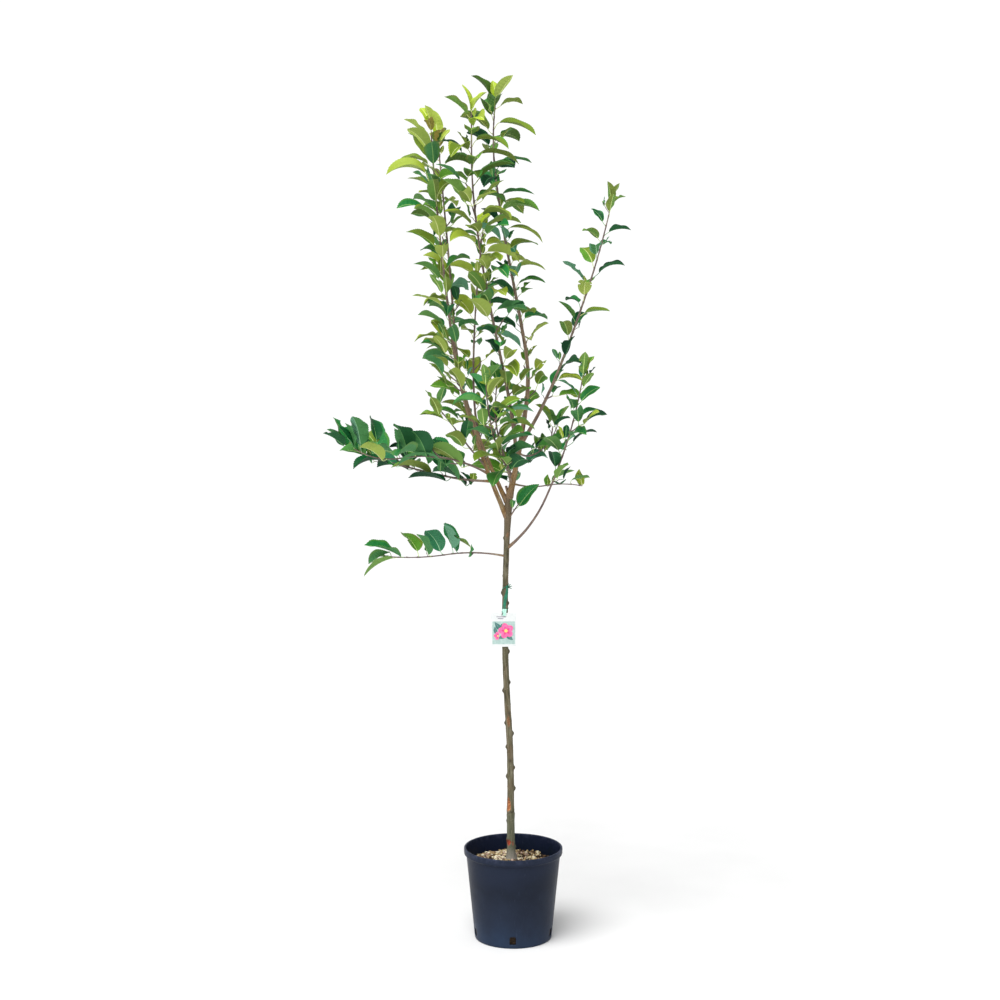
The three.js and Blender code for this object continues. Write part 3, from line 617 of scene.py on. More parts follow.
def leaf_curve(leaf, share, twist):
    """The rib's points and ways and the blade's sideways and upward directions at an array of shares."""
    slope = leaf.start - leaf.bend * share
    run = (sin(leaf.start) - np.sin(slope)) / leaf.bend * leaf.size
    climb = (np.cos(slope) - cos(leaf.start)) / leaf.bend * leaf.size
    heading, up = np.array(leaf.heading), np.array(UP)
    points = np.array(leaf.foot) + run * heading + climb * up
    onward = np.cos(slope) * heading + np.sin(slope) * up
    normal = np.cos(slope) * up - np.sin(slope) * heading
    across = np.array([-heading[1], heading[0], 0])
    roll = leaf.roll + twist * (share - EDGE_SHARES[0])
    side = np.cos(roll) * across + np.sin(roll) * normal
    return points, onward, side, np.cos(roll) * normal - np.sin(roll) * across


def bite(share, draw):
    """How much of the half-width is left along an edge that something has eaten into."""
    centre, half, depth = draw(*BITE.centre), draw(*BITE.half), draw(*BITE.depth)
    return 1 - depth * np.sqrt(np.clip(1 - ((share - centre) / half) ** 2, 0, 1))


def blade_points(leaf, draw, stations):
    """Eight top points and six under them for each station along the blade. Arrays have the stations first,
    then the points across the blade, then the coordinates."""
    share = (np.arange(stations)[:, None, None] + 1) / (stations + 1)
    tooth = np.arange(stations)[:, None, None] % 2
    points, onward, side, normal = leaf_curve(leaf, share, draw(*LEAF.twist))
    fuller = LEAF.fuller_by * smoothstep(share, *LEAF.fuller)
    slimmer = LEAF.slimmer_by * smoothstep(share, *LEAF.slimmer)
    width = leaf.half_width * blade_outline(share) * (1 + fuller - slimmer)
    halves = [width * bite(share, draw) if draw() < LEAF.bitten else width for _ in range(2)]
    rib = np.minimum(mix(LEAF.rib_half, LEAF.rib_tip, share), LEAF.widest_rib * width) * [[-1], [1]]
    part = np.tile(np.reshape(LEAF.columns, (8, 1)), (stations, 1, 1))
    reach = part * np.repeat(np.concatenate(halves, 1), 4, 1)
    part[:, 3:5], reach[:, 3:5] = rib / width, rib
    reach[:, [0, -1]] *= 1 - LEAF.tooth * (1 - tooth)

    size = np.abs(part)
    beat = 2 * np.pi * LEAF.veins * (share - LEAF.vein_slant * size)
    quilting = -LEAF.quilting * np.cos(beat) * np.sin(np.pi * np.minimum(size * LEAF.quilt_reach, 1))
    waves, left, right, depth = draw(*LEAF.waves), draw(0, 6.3), draw(0, 6.3), draw(*LEAF.wave_depth)
    wave = depth * size**2 * np.sin(2 * np.pi * waves * share + np.where(part < 0, left, right))
    height = np.abs(reach) ** LEAF.cup * np.maximum(width, 1) ** (1 - LEAF.cup) * sin(leaf.fold)
    height = height + (quilting + wave) * (width / width.max())
    lean = np.zeros_like(reach)
    lean[:, [0, -1]] = LEAF.tooth_lean * leaf.size / stations * tooth
    middle = points + reach * cos(leaf.fold) * side + height * normal + lean * onward

    above = np.full((8, 1), LEAF.thickness / 2)
    above[3:5] -= LEAF.groove
    above[[0, -1]] = 0
    below = np.full((stations, 6, 1), LEAF.thickness / 2)
    below[:, 2:4] = mix(LEAF.rib_depth, LEAF.rib_tip, share)
    return middle + above * normal, middle[:, 1:-1] - below * normal


def add_blade(shape, leaf, draw, stations, tones):
    """The blade as a thin closed solid: a top and an underside that share their toothed margin. Its tones
    are its own and the one painted on some of its strips as painted light and shade."""
    top, bottom = blade_points(leaf, draw, stations)
    foot, ends = np.array(leaf.foot), stations * 14
    upper = np.arange(stations * 8).reshape(-1, 8)
    lower = np.hstack([upper[:, :1], np.arange(stations * 8, ends).reshape(-1, 6), upper[:, -1:]])
    # Painted light and shade: some strips of the blade take the neighbouring tone.
    strips = PAINTED_LIGHT_STRIPS[int(draw() * len(PAINTED_LIGHT_STRIPS))]
    corners, kinds = [], []
    for under, rows in enumerate((upper, lower)):
        rows = np.vstack([np.full(8, ends), rows, np.full(8, ends + 1)])
        faces = quads(rows).reshape(-1, 7, 4)[..., [0, 3, 2, 1]]
        faces[-1, :, 2] = faces[-1, :, 3]
        faces[[0, -1], :, 3] = -1
        if under:
            faces = np.where(faces[..., 3:] < 0, faces[..., [0, 2, 1, 3]], faces[..., [0, 3, 2, 1]])
        kind = np.full(7, 3 * tones[0] + under)
        kind[strips] = 3 * tones[1] + under
        kind[RIB_STRIP] = 3 * tones[0] + 2
        corners.append(faces.reshape(-1, 4))
        kinds.append(np.tile(kind, stations + 1))
    margin = np.zeros(ends + 2, bool)
    margin[upper[:, [0, -1]]] = True
    margin[ends:] = True
    points = np.concatenate([top.reshape(-1, 3), bottom.reshape(-1, 3), [foot, leaf.rib_at(1)[0]]])
    shape.add(points, np.concatenate(corners), np.concatenate(kinds), margin)


def add_stalk(shape, leaf, place):
    """The leaf's stalk bends from its own way into the blade's."""
    t = np.linspace(0, 1, STALK.rows)[:, None]
    start, end = np.array(leaf.base), np.array(leaf.foot)
    reach = np.linalg.norm(end - start) / 3
    blade_way = np.array(leaf.heading) * cos(leaf.start) + np.array(UP) * sin(leaf.start)
    one, two = start + np.array(leaf.way) * reach, end - blade_way * reach
    end = end + blade_way * STALK.overlap
    centres = (1 - t) ** 3 * start + 3 * (1 - t) ** 2 * t * one + 3 * (1 - t) * t**2 * two + t**3 * end
    thick = mix(STALK.radius, STALK.foot, np.exp(-t * STALK.flare))
    radii = even((STALK.least + STALK.gain * leaf.size / 100) * thick, STALK.sides)
    radii[-1] *= STALK.tip
    add_tube(shape, centres, ways_along(centres), (-leaf.heading.y, leaf.heading.x, 0), radii, place)


# ---------------------------------------------------------------- leaf colours

# Each tone's top, underside and rib, and the tone that may lie beside it on a blade as painted light and
# shade.
TONES = {
    "lime": (0xAEC634, 0xB4CA58, 0xE6EEA4, "yellow"),
    "yellow": (0x9AAE3A, 0xA2B658, 0xDEE49C, "olive"),
    "amber": (0x9A8A3A, 0xA6964A, 0xD4C68A, "olive"),
    "olive": (0x708A2A, 0x7A8E40, 0xCAD488, "fresh"),
    "fresh": (0x5E9430, 0x6E9648, 0xC4DC86, "olive"),
    "mid": (0x428034, 0x5A8846, 0xB4D282, "green"),
    "green": (0x267638, 0x4A844E, 0x98C476, "mid"),
    "shade": (0x3C5C1C, 0x4C6A2A, 0x98AE5C, "mid"),
    "dark": (0x0E4E26, 0x285E38, 0x6AA05E, "green"),
    "deep": (0x06331A, 0x18442A, 0x4C8650, "dark"),
    "sage": (0x347852, 0x649A7A, 0x92BE96, "green"),
}
TONE_NAMES = list(TONES)
# The strips of a blade, counted from edge to edge, that may have that other tone as painted light and shade:
# one half, the margins or the strips between.
PAINTED_LIGHT_STRIPS = [[], [], [0, 1, 2], [4, 5, 6], [0, 6], [1, 2, 4, 5]]
TIP_TONES = {"leader": "lime", "arch": "fresh"}

# Shares of the tones by height above the floor, from the tips down, and on the low side arms.
BANDS = [
    (2380, dict(lime=7, yellow=12, amber=9, olive=34, fresh=9, mid=4, shade=18, dark=3, deep=4)),
    (2150, dict(yellow=4, amber=3, olive=24, fresh=12, mid=10, green=4, shade=21, dark=9, deep=12, sage=1)),
    (1850, dict(yellow=4, amber=1, olive=15, fresh=19, mid=15, green=10, shade=6, dark=11, deep=16, sage=3)),
    (1550, dict(yellow=10, olive=18, fresh=25, mid=12, green=10, dark=8, deep=13, sage=4)),
    (0, dict(yellow=12, olive=15, fresh=27, mid=13, green=10, dark=7, deep=11, sage=5)),
]
SIDE_BAND = dict(yellow=6, olive=10, fresh=15, mid=13, green=18, dark=12, deep=11, sage=15)
ARM_BAND = dict(yellow=3, olive=6, fresh=9, mid=11, green=26, dark=22, deep=20, sage=3)
OWN_BANDS = {
    **dict.fromkeys(["far_right", "low_right", "right_twig", "back"], SIDE_BAND),
    **dict.fromkeys(["far_left", "upper_left"], ARM_BAND),
    "low_left": dict(fresh=8, mid=14, green=46, sage=32), "trunk_spur": dict(green=1),
}
# Leaves near the crown's middle line, which leans left with height, are more often dark ones: painted shade
# inside the crown.
CROWN = Values(leans=([1550, 2550], [-40, -120]), inside=(50, 170), darker=0.7, even=0.36)


def tone_of(leaf, shoot):
    """The name of the leaf's tone, from its height and its shade, and painted shade inside the crown."""
    if leaf.young and shoot.kind in TIP_TONES:
        return TIP_TONES[shoot.kind]
    middle = leaf.rib[1]
    band = OWN_BANDS.get(shoot.name) or next(band for low, band in BANDS if middle.z >= low)
    reach = hypot(middle.x - np.interp(middle.z, *CROWN.leans), middle.y)
    depth = 1 - smoothstep(reach, *CROWN.inside)
    # Painted shade: leader leaves near the crown's middle line draw darker tones.
    darker = CROWN.darker * (depth - CROWN.even) if shoot.kind == "leader" else 0
    left = min(max(leaf.shade + darker, 0.01), 0.99) * sum(band.values())
    for name, share in band.items():
        left -= share
        if left <= 0:
            return name
    return name


def foliage(shoot):
    """All leaves of one shoot with their stalks. Each tone has three materials: top, underside, rib."""
    shape, draw = Shape(), dice(shoot.seed + 77)
    for leaves, stations in ((shoot.leaves, LEAF.stations), (shoot.fine_leaves, LEAF.fine_stations)):
        for leaf in leaves:
            finish_growth(leaf, shoot)
            name = tone_of(leaf, shoot)
            tones = TONE_NAMES.index(name), TONE_NAMES.index(TONES[name][3])
            add_blade(shape, leaf, draw, stations, tones)
            add_stalk(shape, leaf, 3 * tones[0] + 2)
    return shape


# ---------------------------------------------------------------- wood

BARK = Values(
    ring_step=6, thick=5, thick_sides=20, thin_sides=14, collar=0.42, collar_reach=1.3, relief=0.05,
    least_relief=0.12, grain=(0.35, 0.35, 0.07), node_swell=0.55, node_reach=4, young_girth=1.6,
    old_girth=11, pale={"left_outer": 0.45, "left_inner": 0.35}, pale_reach=300, foot_share=0.45,
    tip_share=0.45, fork_age=0.48, fork_reach=5, shift=40,
)
TRUNK_MESH = Values(
    ring_step=3.5, sides=44, bark=0.75, relief=0.4, grain=(0.3, 0.3, 0.035), pimples=0.25,
    pimple_grain=0.9, broad_flutes=1.6, narrow_flutes=1.1, neck=34, neck_share=0.35,
    dome_rows=5, dome_lean=0.93, dome_height=0.5,
)
KNOB = Values(gain=1.9, spread=1.12, girth=0.8, steepness=1.8, hollow=0.3, hollow_steepness=3.2)

# Knobs and bud scars on the trunk: distance along it, bearing, height, radius.
KNOBS = [
    (820, 196, 3.4, 7), (788, -12, 2.8, 6), (642, -8, 3.6, 7), (548, -20, 3.2, 6), (522, 190, 3.4, 7),
    (423, 186, 3, 6), (391, 4, 3.6, 7), (350, -168, 3, 6), (286, -6, 3.2, 6), (259, 176, 3.4, 7),
    (222, 2, 3.6, 7), (902, -70, 2.2, 5), (740, 80, 3, 6), (690, -110, 2, 5), (604, 120, 3.2, 7),
    (470, 60, 3, 6), (455, -75, 1.8, 5), (330, 100, 3.2, 6), (310, -95, 1.8, 5), (120, 150, 2.5, 6),
    (64, -150, 2.8, 7), (40, 20, 2.4, 6), (985, 150, 2.6, 6), (870, 130, 2.6, 6),
]
# Where the bark is hurt: distance, bearing, half-length along the trunk, half-width round it, depth, and
# how strong its colour is.
WOUNDS = [(172, -130, 24, 8, 1.5, 1), (429, -92, 20, 6, 0.4, 0.4), (57, -134, 10, 9.5, 0.8, 1),
          (54, -62, 8, 5, 0.5, 0.35), (995, -80, 10, 5, 0.3, 0.3)]
WOUND = Values(ragged=0.22, grain=0.22, floor=0.75, lip=0.55, lip_at=1.1, lip_half=0.2)
GRAFT_CUT = Values(tilt=5, bearing=-40, half=2.2, depth=1.1)


def round_off(around, bearing):
    """The angles from a bearing, from half a turn back to half a turn on."""
    return (around - radians(bearing) + np.pi) % (2 * np.pi) - np.pi


def trunk_shape():
    """The trunk with its flare, graft, knobs, wounds and bark, from level rings."""
    shape = Shape()
    distance = np.linspace(0, trunk.length, int(trunk.length / TRUNK_MESH.ring_step))
    centres, _ = trunk.line(distance)
    around, distance = circle(TRUNK_MESH.sides), distance[:, None]
    girth = trunk.girth(distance) + TRUNK_MESH.bark
    straight = polar(girth, around, distance)
    radii = girth + TRUNK_MESH.relief * rough(straight * np.array(TRUNK_MESH.grain), 4)
    radii = radii + TRUNK_MESH.pimples * rough(straight * TRUNK_MESH.pimple_grain + 50, 2)
    broad, narrow = np.sin(3 * around + 1), np.sin(5 * around)
    flutes = TRUNK_MESH.broad_flutes * broad + TRUNK_MESH.narrow_flutes * narrow
    radii += np.exp(-distance / TRUNK.flare_height) * flutes
    scar, hurt = np.zeros_like(radii), np.zeros_like(radii)
    for at, bearing, height, size in KNOBS:
        height, size = height * KNOB.gain, size * KNOB.spread
        off = np.hypot((distance - at) / size, round_off(around, bearing) * girth / (KNOB.girth * size))
        hollow = KNOB.hollow * height * np.exp(-((off * KNOB.hollow_steepness) ** 2))
        radii += height * np.exp(-(off**2) * KNOB.steepness) - hollow
        # The dark mark over each knob is its bud scar and painted shade round the knob.
        scar = np.maximum(scar, np.exp(-(off**2)))
    cut = TRUNK.graft_height + GRAFT_CUT.tilt * np.cos(around - radians(GRAFT_CUT.bearing))
    cut = np.exp(-(((distance - cut) / GRAFT_CUT.half) ** 2))
    radii -= GRAFT_CUT.depth * cut
    scar = np.maximum(scar, cut)
    for at, bearing, half, half_width, depth, strength in WOUNDS:
        off = np.hypot((distance - at) / half, round_off(around, bearing) * girth / half_width)
        off = off + WOUND.ragged * rough(straight * WOUND.grain + 9, 2)
        inside = 1 - smoothstep(off, WOUND.floor, 1)
        lip = WOUND.lip * np.exp(-(((off - WOUND.lip_at) / WOUND.lip_half) ** 2))
        radii += depth * (lip - inside)
        hurt = np.maximum(hurt, inside * strength)

    # The top draws in to a dome inside the limb that goes on.
    radii *= 1 - TRUNK_MESH.neck_share * smoothstep(distance, trunk.length - TRUNK_MESH.neck, trunk.length)
    rise = np.linspace(0, 90, TRUNK_MESH.dome_rows + 1)[1:, None]
    climb = radii[-1].mean() * TRUNK_MESH.dome_height * np.sin(np.radians(rise))
    centres = np.concatenate([centres, centres[-1] + climb * np.array(UP)])
    radii = np.concatenate([radii, radii[-1] * np.cos(np.radians(rise * TRUNK_MESH.dome_lean))])
    fields = straight * MM, scar, hurt
    straight, scar, hurt = (np.concatenate([field, np.repeat(field[-1:], len(rise), 0)]) for field in fields)
    add_tube(shape, centres, np.array(UP), AWAY, radii, straight=straight, scar=scar, hurt=hurt)
    return shape


def bark_age(limb, distance):
    """How old the bark looks: 0 on this year's wood, 1 on the oldest."""
    pale = BARK.pale.get(limb.name, 0) * np.exp(-distance / BARK.pale_reach)
    return np.clip((limb.girth(distance) - BARK.young_girth) / BARK.old_girth + pale, 0, 1)


def add_limb(shape, limb):
    """A limb from its parent's centre to its tip, swollen at its foot and at each leaf. Its bark takes its
    parent's look near the fork."""
    distance = np.linspace(0, limb.length, max(12, int(limb.length / BARK.ring_step)))
    centres, ways = limb.line(distance)
    girth, nearby = limb.girth(distance), limb.parent.girth(limb.at)
    collar = BARK.collar * girth[0] * np.exp(-distance / (girth[0] * BARK.collar_reach + nearby))
    nodes = [leaf.at for leaf in limb.leaves if leaf.at]
    nodes += [twig.at for twig in limb.twigs if twig.rule is SIDE_TWIG]
    near = (distance[:, None] - np.array(nodes)) / BARK.node_reach
    swell = np.minimum(BARK.node_swell * np.exp(-(near**2)).sum(1), 1)
    buried = mix(BARK.foot_share, 1, smoothstep(distance, 0, nearby))
    sides = BARK.thick_sides if limb.radius[0] > BARK.thick else BARK.thin_sides
    radii = ((girth + collar + swell) * buried)[:, None]
    straight = polar(radii, circle(sides), distance[:, None] + BARK.shift * len(limb.name))
    relief = BARK.relief * radii + BARK.least_relief
    radii = radii + relief * rough(straight * np.array(BARK.grain) + limb.seed % 97)
    radii[-1] *= BARK.tip_share
    fork_age = BARK.fork_age if limb.parent is trunk else bark_age(limb.parent, limb.at)
    age = mix(fork_age, bark_age(limb, distance), smoothstep(distance, nearby, nearby * BARK.fork_reach))
    add_tube(shape, centres, ways, limb.beside, radii, straight=straight * MM, age=age[:, None])


TWIG = Values(profile=(1.25, 0.95, 0.85, 0.8, 0.95, 0.6), sides=8, bow=0.06, overlap=2, age=0.12, shift=30)
BUD = Values(
    profile=(0.8, 1.05, 0.95, 0.6, 0.12), sides=6, length=3.4, sink=0.4, age=0.3, steep=0.9, along=0.85,
    off=0.5, above=3, seat=0.2, gain=0.12, tip_size=1.5, tip_back=2,
)
STUB_MESH = Values(sides=16, relief=0.35, grain=0.4, foot_age=0.8)
STUB_ROWS = [(0, 1.2), (0.25, 1), (0.5, 1), (0.75, 1.02), (0.92, 1.08), (1, 1), (1, 0.6)]  # share, swell


def add_twig(shape, twig, shift):
    """A short side twig that thins a little and ends in a bud."""
    t = np.linspace(0, 1, len(TWIG.profile))[:, None]
    base, foot = np.array(twig.base), np.array(twig.foot)
    length = np.linalg.norm(foot - base)
    way = (foot - base) / length
    bow = TWIG.bow * length * np.sin(np.pi * t)
    centres = base + t * (foot + way * TWIG.overlap - base) - bow * np.array(UP)
    radii = even(twig.rule.radius * np.array(TWIG.profile), TWIG.sides)
    straight = polar(radii, circle(TWIG.sides), t * length + shift) * MM
    add_tube(shape, centres, ways_along(centres), beside(way), radii, straight=straight, age=TWIG.age)


def add_bud(shape, base, way, out, size):
    """A pointed bud that leans against its stem."""
    way = np.array((way * BUD.along + out * BUD.off).normalized())
    t = np.linspace(0, 1, len(BUD.profile))[:, None]
    centres = np.array(base) + (t * BUD.length - BUD.sink) * size * way
    reference = AWAY if abs(way[2]) < BUD.steep else UP
    radii = even(size * np.array(BUD.profile), BUD.sides)
    add_tube(shape, centres, way, reference, radii, straight=np.array([[base]]) * MM, age=BUD.age)


def twigs_of(shoot):
    """The side twigs of one shoot, and the buds in its leaves' angles and at its tip."""
    shape = Shape()
    for number, twig in enumerate(shoot.twigs):
        add_twig(shape, twig, TWIG.shift * number)
    for leaf in shoot.leaves:
        if leaf.at:
            point, way = shoot.along(leaf.at + BUD.above)
            out = (leaf.way - way * leaf.way.dot(way)).normalized()
            girth = float(shoot.girth(leaf.at))
            add_bud(shape, point + out * (girth - BUD.seat), way, out, 1 + BUD.gain * girth)
    point, way = shoot.along(shoot.length)
    add_bud(shape, point - way * BUD.tip_back, way, way, BUD.tip_size)
    return shape


def add_stub(shape, right):
    """What is left of the old leader, cut off beside the fork."""
    point, _ = right.along(STUB.at)
    way = np.array(aim(STUB.bearing, STUB.lean))
    share, swell = np.array(STUB_ROWS).T[..., None]
    centres = np.array(point) + (STUB.radius - right.radius[0], 0, 0) + share * STUB.length * way
    girth = mix(STUB.radius, STUB.tip_radius, share) * swell
    straight = polar(girth, circle(STUB_MESH.sides), centres[:, 2:])
    radii = girth + STUB_MESH.relief * rough(straight * STUB_MESH.grain)
    age = np.linspace(STUB_MESH.foot_age, 0, len(share))[:, None]
    add_tube(shape, centres, way, AWAY, radii, straight=straight * MM, age=age)


# ---------------------------------------------------------------- pot and soil

WALL_SLOPE = (POT.wall_radius - POT.base_radius) / (POT.height - POT.lip_height)
POT_MESH = Values(segments=160, wall_rows=40, inside_rows=24, lip_out=3.2, lip_in=2.6, block_reach=8)
UNDERSIDE = [(0, 3.2), (60, 3), (96, 2.2), (104, 0.3), (POT.base_radius - 6, 0)]  # radius, height


def outer_wall(height):
    return POT.base_radius + WALL_SLOPE * height


def inner_wall(height):
    return outer_wall(height) - POT.thickness


def arc(centre, radius, start, end, steps):
    angles = np.radians(np.linspace(start, end, steps))
    return [(centre[0] + radius * cos(a), centre[1] + radius * sin(a)) for a in angles]


def pot_profile():
    """Radii and heights: first from the centre of the underside out, up the wall and over the rolled lip,
    then down inside."""
    foot, top, rim = POT.base_round, POT.height, POT.rim_radius
    lip_foot = top - POT.lip_height
    outer, inner = POT_MESH.lip_out, POT_MESH.lip_in
    outside = [
        *UNDERSIDE,
        *arc((POT.base_radius - foot + 0.1, foot), foot, -80, -6, 5),
        *[(outer_wall(z), z) for z in np.linspace(foot, lip_foot - 4, POT_MESH.wall_rows)],
        *[(mix(outer_wall(lip_foot), rim - 1.2, s * s), lip_foot - 3 + 4 * s) for s in (0.2, 0.5, 0.8, 1)],
        *[(rim - 0.5 * (1 - s), mix(lip_foot + 3, top - outer - 3, s)) for s in (0, 0.3, 0.6, 1)],
        *arc((rim - outer, top - outer), outer, 20, 90, 6),
        *arc((rim - POT.lip_width + inner, top - inner), inner, 100, 190, 6),
    ]
    inside = [
        (inner_wall(lip_foot) + 0.8, lip_foot + 2), (inner_wall(lip_foot), lip_foot - 4),
        *[(inner_wall(z), z) for z in np.linspace(lip_foot - 12, POT.floor + 3, POT_MESH.inside_rows)],
        (inner_wall(POT.floor) - 3, POT.floor), (0, POT.floor),
    ]
    return outside, inside


def slot_blocks():
    """Blocks with a rounded outline, standing across the wall just above the base."""
    shape = Shape()
    half, corner, foot = SLOTS.width / 2, SLOTS.corner, SLOTS.foot_corner
    shoulder = SLOTS.height - corner
    outline = [
        *arc((half - foot, foot), foot, -90, 0, 4), *arc((half - corner, shoulder), corner, 0, 90, 6),
        *arc((corner - half, shoulder), corner, 90, 180, 6), *arc((foot - half, foot), foot, 180, 270, 4),
    ]
    across, height = np.array(outline).T
    reach = outer_wall(SLOTS.sill) + np.array([[-1], [1]]) * POT_MESH.block_reach
    for index in range(SLOTS.count):
        x, y = turned(reach, across, radians(SLOTS.first_bearing + 360 * index / SLOTS.count))
        rings = np.stack(np.broadcast_arrays(x, y, height + SLOTS.sill), -1)
        add_rings(shape, rings, rings.mean(1))
    return shape


def pot_mesh():
    """The turned pot with its drain slots cut through. Its inside has the second material, the same plastic
    darker as painted shade.
    """
    blank, segments = Shape(), POT_MESH.segments
    outside, inside = pot_profile()
    radius, height = np.array(outside + inside).T[..., None]
    rings = polar(radius, circle(segments), height)
    places = np.repeat([0] * (len(outside) - 2) + [1] * (len(inside) - 1) + [0, 1], segments)
    add_rings(blank, rings[1:-1], rings[[0, -1], 0], places)
    cutter = add_object("cutter", slot_blocks().mesh("cutter"))
    pot = add_object("pot_blank", blank.mesh("pot_blank"))
    cut = pot.modifiers.new("slots", "BOOLEAN")
    cut.object, cut.operation, cut.solver = cutter, "DIFFERENCE", "EXACT"
    mesh = bpy.data.meshes.new_from_object(pot.evaluated_get(bpy.context.evaluated_depsgraph_get()))
    for thing in (cutter, pot):
        bpy.data.objects.remove(thing)
    mesh.name = "pot_wall"
    return mesh


SOIL_MESH = Values(rings=52, sides=120, first_ring=2, gap=0.4, floor_gap=0.3, foot=5, waist=150)
MOUND = Values(height=8, centre=(-28, 8), reach=74, drop=3, roughness=2.6, lumps=0.09)
GRANULES = Values(count=780, sizes=(3, 8.5), edge_gap=5, stem_gap=9, sink=0.25, lift=2.5, thin=(20, 110),
                  thinnest=0.3, widths=(0.5, 0.9), heights=(0.35, 0.75), unevenness=0.25, tilts=(0.09, 0.6))
LUMP = [(0.62, 0, -0.75), (1, 0.6, 0), (0.6, 0.2, 0.7)]  # radius, turn and height of a granule's rings
LUMP_ENDS = [(0, 0, -1), (0, 0, 0.95)]


def soil_level(x, y):
    """The soil's height: a low mound round the trunk, a little off the middle."""
    stations = [0, SOIL.foot_radius, SOIL.shoulder_radius, inner_wall(SOIL.edge_level)]
    levels = [SOIL.foot_level, SOIL.foot_level, SOIL.shoulder_level, SOIL.edge_level]
    base = np.interp(np.hypot(x, y), stations, levels) - MOUND.drop
    off = ((x - MOUND.centre[0]) ** 2 + (y - MOUND.centre[1]) ** 2) / MOUND.reach**2
    spots = np.stack([x, y, np.zeros_like(x)], -1)
    return base + MOUND.height * np.exp(-off) + MOUND.roughness * rough(spots * MOUND.lumps)


def soil_shape():
    """The soil's wall and its uneven top, from the floor of the pot to the middle of the top."""
    shape, floor = Shape(), POT.floor + SOIL_MESH.floor_gap
    levels = SOIL.edge_level, SOIL_MESH.waist, SOIL_MESH.foot
    edge, waist, foot = (inner_wall(level) - SOIL_MESH.gap for level in levels)
    radii = [*np.linspace(SOIL_MESH.first_ring, edge, SOIL_MESH.rings), waist, foot]
    rings = polar(np.array(radii)[:, None], circle(SOIL_MESH.sides), 0)
    rings[..., 2] = soil_level(rings[..., 0], rings[..., 1])
    rings[-2:, :, 2] = [[SOIL_MESH.waist], [floor]]
    add_rings(shape, rings[::-1], [(0, 0, floor), (0, 0, rings[0, :, 2].mean())])
    return shape


def rotation(matrix):
    """A rotation whose axes lie near those of a matrix."""
    axes, _ = np.linalg.qr(matrix)
    return axes * np.sign(np.linalg.det(axes))


def granules():
    """Chips of bark and grit scattered over the soil."""
    shape, dealt, made = Shape(), np.random.default_rng(41), 0
    corners = tube_corners(3, 5)
    lump = np.concatenate([*(polar(radius, circle(5) + turn, z) for radius, turn, z in LUMP), LUMP_ENDS])
    while made < GRANULES.count:
        radius = (inner_wall(SOIL.edge_level) - GRANULES.edge_gap) * sqrt(dealt.random())
        bearing = 2 * pi * dealt.random()
        x, y = radius * cos(bearing), radius * sin(bearing)
        if hypot(x - TRUNK.foot[0], y - TRUNK.foot[1]) < GRANULES.stem_gap + TRUNK.foot_radius:
            continue
        if dealt.random() > mix(1, GRANULES.thinnest, smoothstep(x, *GRANULES.thin)):
            continue
        size = mix(*GRANULES.sizes, dealt.random() ** 2)
        sides = np.array([1, mix(*GRANULES.widths, dealt.random()), mix(*GRANULES.heights, dealt.random())])
        points = lump * (size * sides) * (1 + GRANULES.unevenness * (dealt.random((len(lump), 1)) - 0.5))
        axes = rotation(dealt.normal(size=(3, 3)))
        level = np.array([(*turned(1, 0, bearing), 0), (*turned(0, 1, bearing), 0), (0, 0, 1)]).T
        axes = rotation(mix(level, axes, mix(*GRANULES.tilts, dealt.random())))
        height = soil_level(x, y) + GRANULES.sink * size + GRANULES.lift * dealt.random()
        place = int(dealt.random() * len(GRANULE_TINTS))
        shape.add(points @ axes.T + (x, y, height), corners, place, True)
        made += 1
    return shape


# ---------------------------------------------------------------- tie and label

GREEN, PALE, DARK = range(3)
# Turns of tape: bearing and distance along the trunk at the foot and at the top, width, thickness.
RIBBONS = [
    ((-126, 759), (-52, 842), 7.5, 0.7), ((-104, 760), (-36, 838), 5.5, 0.7),
    ((-146, 764), (-104, 800), 3.5, 0.6), ((-88, 784), (-30, 832), 3, 0.6),
]
BANDS_ROUND = [(765, 2.75, 6), (836, 2.2, 9)]  # distance, width, slant
# Loose ends of the knot: distance, bearing and reach.
TUFT = [(838, -30, (13, -3, 5)), (840, -46, (9, -6, 9)), (836, -20, (11, 2, -3))]
TUFT_FACES = (0.2, -0.6, 0.8)
TIE = Values(
    lift=0.9, layer=0.35, wander=5, wrinkle=0.5, uneven=0.12, band_lift=0.5, band_layer=0.4,
    band_thickness=0.7, band_end=372, tuft_lift=1.2, tuft_width=4.5, tuft_thickness=0.6, tuft_bow=2,
)
STRAP = Values(place=(-1.5, -1.1, -3), length=21, width=13, taper=3, thickness=0.9, bow=0.7, rest=0.6)
TAPE_SECTION = [(-1, -1), (-0.5, -1), (0.5, -1), (1, -1), (1, 1), (0.5, 1), (-0.5, 1), (-1, 1)]
TAPE_BOW = 0.08
PIN = Values(way=(0.45, 0, 0.9), half=5, radii=(0.5, 1, 1.1, 1.1, 1, 0.5), place=(-6.5, -0.6, -15))


def add_ribbon(shape, centres, outwards, widths, thickness, place=GREEN):
    """A flat strip along centres that shows its bowed face outwards."""
    ways = ways_along(centres)
    side = unit(np.cross(ways, outwards))
    normals = np.cross(side, ways)
    half = np.reshape(widths, (-1, 1, 1)) / 2
    across, level = np.array(TAPE_SECTION).T[..., None]
    edge = np.abs(across) == 1
    lift = level * thickness / 2 - TAPE_BOW * half * edge
    rings = centres[:, None] + across * half * side[:, None] + lift * normals[:, None]
    add_rings(shape, rings, centres[[0, -1]], place, edge[:, 0])


def round_trunk(distance, bearing, lift):
    """Points and outward directions on the trunk's surface at arrays of distances and bearings."""
    out = polar(1, np.radians(bearing), 0)
    return trunk.line(distance)[0] + out * (trunk.girth(distance) + lift)[:, None], out


